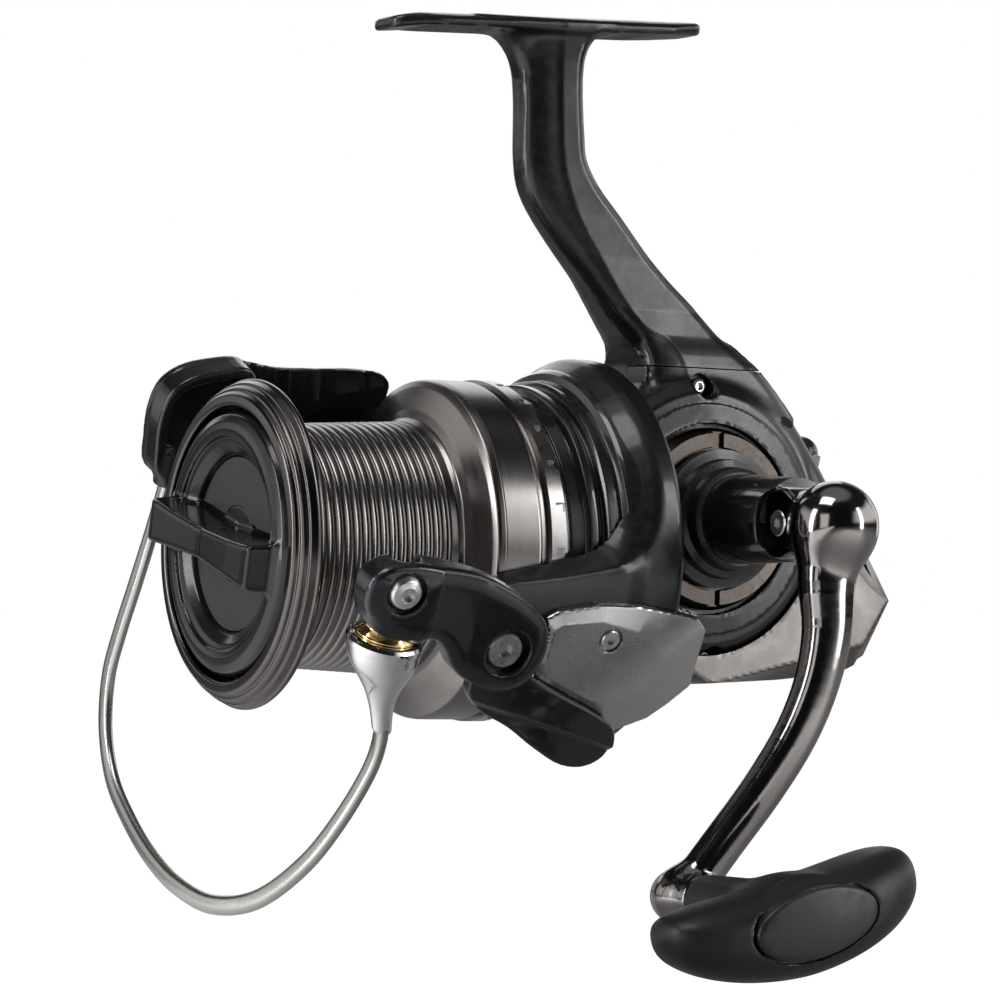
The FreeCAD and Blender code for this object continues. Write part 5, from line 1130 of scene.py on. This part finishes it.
# ------------------------------------------------------------------ floor, light, camera
def stage_plane(name, size, z, mat):
    me = bpy.data.meshes.new(name)
    n = 24
    vs, fs = [], []
    for i in range(n + 1):
        for j in range(n + 1):
            vs.append(((i / n - 0.5) * size, (j / n - 0.5) * size, z))
    for i in range(n):
        for j in range(n):
            a = i * (n + 1) + j
            fs.append((a, a + n + 1, a + n + 2, a + 1))
    me.from_pydata(vs, [], fs)
    ob = bpy.data.objects.new(name, me)
    bpy.context.scene.collection.objects.link(ob)
    me.materials.append(mat)
    return ob


m_floor, t_floor, b_floor = _nodes("floor_white")
b_floor.inputs["Base Color"].default_value = (0.93, 0.93, 0.935, 1)
t_floor.links.new(_ramp(t_floor, _noise(t_floor, 0.02, 2.0), 0.5, 0.6), b_floor.inputs["Roughness"])
LOW = float(CAD_BOX[0][2])
lpf = t_floor.nodes.new("ShaderNodeLightPath")
em = t_floor.nodes.new("ShaderNodeEmission")
em.inputs["Color"].default_value = (1, 1, 1, 1)
em.inputs["Strength"].default_value = 1.13
mxf = t_floor.nodes.new("ShaderNodeMixShader")
mat_out = [n for n in t_floor.nodes if n.type == "OUTPUT_MATERIAL"][0]
t_floor.links.new(_math(t_floor, "MULTIPLY", lpf.outputs["Is Camera Ray"], 0.86), mxf.inputs["Fac"])
t_floor.links.new(b_floor.outputs["BSDF"], mxf.inputs[1])
t_floor.links.new(em.outputs["Emission"], mxf.inputs[2])
t_floor.links.new(mxf.outputs["Shader"], mat_out.inputs["Surface"])
# painted light in the floor, seen only by rays other than camera rays: glowing patches in front on the left and in
# front on the right, dim elsewhere; shiny parts see them as reflections
tcf = t_floor.nodes.new("ShaderNodeTexCoord")


def floor_along(vec, lo, hi):
    d = t_floor.nodes.new("ShaderNodeVectorMath")
    d.operation = "DOT_PRODUCT"
    t_floor.links.new(tcf.outputs["Object"], d.inputs[0])
    d.inputs[1].default_value = vec
    return _ramp(t_floor, d.outputs["Value"], 0.0, 1.0, lo, hi)


glow_front_left = _math(t_floor, "MULTIPLY", floor_along((0.866, -0.5, 0.0), 0.03, 0.20), floor_along((0.5, 0.866, 0.0), -0.10, 0.10))
glow_front_left = _math(t_floor, "MULTIPLY", glow_front_left, _math(t_floor, "SUBTRACT", 1.0, floor_along((0.866, -0.5, 0.0), 0.7, 1.0)))


def floor_far(px, py, lo, hi):
    """A painted glow mask near a point of the floor, falling to nothing at a distance."""
    d = t_floor.nodes.new("ShaderNodeVectorMath")
    d.operation = "DISTANCE"
    t_floor.links.new(tcf.outputs["Object"], d.inputs[0])
    d.inputs[1].default_value = (px, py, LOW - 0.004)
    return _ramp(t_floor, d.outputs["Value"], 1.0, 0.0, lo, hi)


glow_front_right = _math(t_floor, "MULTIPLY", floor_far(-0.05, 0.42, 0.06, 0.34), 0.62)
near = floor_far(0.0, 0.0, 0.35, 1.7)
# rays other than camera rays see the floor dark grey, lighter near the middle: painted shade
t_floor.links.new(_mix(t_floor, lpf.outputs["Is Camera Ray"], _mix(t_floor, near, (0.03, 0.03, 0.03), (0.13, 0.13, 0.13)), (0.93, 0.93, 0.935)), b_floor.inputs["Base Color"])
# painted light: the floor glows in those patches, and faintly near the middle, for all rays but camera rays
floor_glow_emit = t_floor.nodes.new("ShaderNodeEmission")
floor_glow_emit.inputs["Color"].default_value = (1, 1, 1, 1)
t_floor.links.new(_math(t_floor, "MULTIPLY", _math(t_floor, "ADD", _math(t_floor, "MULTIPLY", _math(t_floor, "MAXIMUM", glow_front_left, glow_front_right), 1.25), _math(t_floor, "MULTIPLY", near, 0.15)), _math(t_floor, "SUBTRACT", 1.0, lpf.outputs["Is Camera Ray"])), floor_glow_emit.inputs["Strength"])
adf = t_floor.nodes.new("ShaderNodeAddShader")
t_floor.links.new(mxf.outputs["Shader"], adf.inputs[0])
t_floor.links.new(floor_glow_emit.outputs["Emission"], adf.inputs[1])
t_floor.links.new(adf.outputs["Shader"], mat_out.inputs["Surface"])
stage_plane("floor", 9.0, LOW - 0.004, m_floor)

w = bpy.data.worlds.new("studio")
bpy.context.scene.world = w
w.use_nodes = True
nt = w.node_tree
nt.nodes.clear()
out = nt.nodes.new("ShaderNodeOutputWorld")
lp = nt.nodes.new("ShaderNodeLightPath")
bg_cam = nt.nodes.new("ShaderNodeBackground")
bg_cam.inputs["Color"].default_value = (1, 1, 1, 1)
bg_cam.inputs["Strength"].default_value = 1.0
bg_env = nt.nodes.new("ShaderNodeBackground")
tc = nt.nodes.new("ShaderNodeTexCoord")
sx = nt.nodes.new("ShaderNodeSeparateXYZ")
nt.links.new(tc.outputs["Generated"], sx.inputs["Vector"])


def wm(op, a, b=None, c=None):
    n = nt.nodes.new("ShaderNodeMath")
    n.operation = op
    for k, v_ in enumerate((a, b, c)):
        if v_ is None:
            continue
        if isinstance(v_, (int, float)):
            n.inputs[k].default_value = v_
        else:
            nt.links.new(v_, n.inputs[k])
    return n.outputs[0]


def step(val, lo, hi):
    mr = nt.nodes.new("ShaderNodeMapRange")
    mr.interpolation_type = "SMOOTHSTEP"
    mr.inputs["From Min"].default_value, mr.inputs["From Max"].default_value = lo, hi
    nt.links.new(val, mr.inputs["Value"])
    return mr.outputs["Result"]


# towards the camera and towards the camera's right
TO_CAM = Vector((0.4995, 0.8662, -0.0148))
RIGHT = Vector((-0.8657, 0.4998, 0.0272))


def dot_dir(vec):
    d = nt.nodes.new("ShaderNodeVectorMath")
    d.operation = "DOT_PRODUCT"
    nt.links.new(tc.outputs["Generated"], d.inputs[0])
    d.inputs[1].default_value = vec
    return d.outputs["Value"]


front, side, up = dot_dir(TO_CAM), dot_dir(RIGHT), sx.outputs["Z"]
sky = step(up, 0.84, 0.95)                       # soft ceiling
behind_cam = wm("MULTIPLY", step(front, 0.25, 0.75), 1.0)             # a dark room behind the camera
wall_l = wm("MULTIPLY", wm("MULTIPLY", step(side, -0.70, -0.90), wm("SUBTRACT", 1.0, step(up, 0.42, 0.58))), step(up, -0.1, 0.1))
wall_r = wm("MULTIPLY", wm("MULTIPLY", step(side, 0.60, 0.80), wm("SUBTRACT", 1.0, step(up, 0.46, 0.62))), step(up, 0.04, 0.2))
backdrop = wm("MULTIPLY", step(front, -0.72, -0.92), step(up, -0.1, 0.0))
low = step(up, -0.12, -0.5)
lum = wm("ADD", wm("MULTIPLY", sky, 0.30), 0.028)
lum = wm("MAXIMUM", lum, wm("MULTIPLY", wall_l, 0.9))
lum = wm("MAXIMUM", lum, wm("MULTIPLY", wall_r, 1.5))
wall_f = wm("MULTIPLY", wm("MULTIPLY", step(side, -0.26, -0.36), wm("SUBTRACT", 1.0, step(side, -0.56, -0.66))), wm("MULTIPLY", wm("MULTIPLY", step(up, -0.22, -0.10), wm("SUBTRACT", 1.0, step(up, 0.42, 0.52))), step(front, 0.2, 0.4)))
lum = wm("MAXIMUM", lum, wm("MULTIPLY", wall_f, 3.0))
lum = wm("MAXIMUM", lum, wm("MULTIPLY", backdrop, 0.35))
lum = wm("MAXIMUM", lum, wm("MULTIPLY", low, 0.05))
lum = wm("MULTIPLY", lum, wm("SUBTRACT", 1.0, wm("MULTIPLY", wm("MULTIPLY", behind_cam, wm("SUBTRACT", 1.0, sky)), 0.55)))
nt.links.new(lum, bg_env.inputs["Strength"])
bg_env.inputs["Color"].default_value = (1.0, 0.995, 0.985, 1)
mix = nt.nodes.new("ShaderNodeMixShader")
nt.links.new(lp.outputs["Is Camera Ray"], mix.inputs["Fac"])
nt.links.new(bg_env.outputs["Background"], mix.inputs[1])
nt.links.new(bg_cam.outputs["Background"], mix.inputs[2])
nt.links.new(mix.outputs["Shader"], out.inputs["Surface"])


def softbox(name, loc, target, size, size_y, power):
    li = bpy.data.lights.new(name, "AREA")
    li.shape = "RECTANGLE"
    li.size, li.size_y = size, size_y
    li.energy = power
    ob = bpy.data.objects.new(name, li)
    bpy.context.scene.collection.objects.link(ob)
    ob.location = loc
    ob.rotation_euler = (Vector(target) - Vector(loc)).to_track_quat("-Z", "Y").to_euler()
    ob.visible_camera = False
    return ob


AIM = (0.03, 0.0, 0.01)
softbox("key_top", Vector(AIM) + TO_CAM * 0.35 + Vector((0, 0, 0.85)) - RIGHT * 0.25, AIM, 0.5, 0.35, 2.4)
softbox("key_right", Vector(AIM) + TO_CAM * 0.5 + RIGHT * 0.75 + Vector((0, 0, 0.42)), AIM, 0.42, 0.42, 3.0).visible_glossy = False
softbox("strip_left", Vector(AIM) + TO_CAM * 0.45 - RIGHT * 0.85 + Vector((0, 0, 0.28)), AIM, 0.22, 0.8, 4.0)
softbox("strip_right", Vector(AIM) + TO_CAM * 0.35 + RIGHT * 0.9 + Vector((0, 0, 0.22)), AIM, 0.16, 0.8, 2.6)

softbox("back_soft", Vector(AIM) - TO_CAM * 0.95 - RIGHT * 0.3 + Vector((0, 0, 0.55)), AIM, 1.1, 0.7, 2.6)
softbox("back_low", Vector(AIM) - TO_CAM * 0.8 + RIGHT * 0.7 + Vector((0, 0, 0.1)), AIM, 0.3, 0.7, 0.8)

cam = bpy.data.cameras.new("camera")
cam.lens = 144.27
cam.sensor_width = 36.0
cam.sensor_fit = "HORIZONTAL"
cam.clip_start, cam.clip_end = 0.05, 50.0
co = bpy.data.objects.new("camera", cam)
bpy.context.scene.collection.objects.link(co)
UP = Vector((0.0310, -0.0008, 0.9995))
co.matrix_world = Matrix(((RIGHT.x, UP.x, TO_CAM.x, 0.5306), (RIGHT.y, UP.y, TO_CAM.y, 0.8367), (RIGHT.z, UP.z, TO_CAM.z, -0.0019), (0, 0, 0, 1)))
bpy.context.scene.camera = co
bpy.context.scene.view_settings.view_transform = "Standard"
bpy.context.scene.view_settings.look = "None"
bpy.context.scene.view_settings.exposure = 0.0
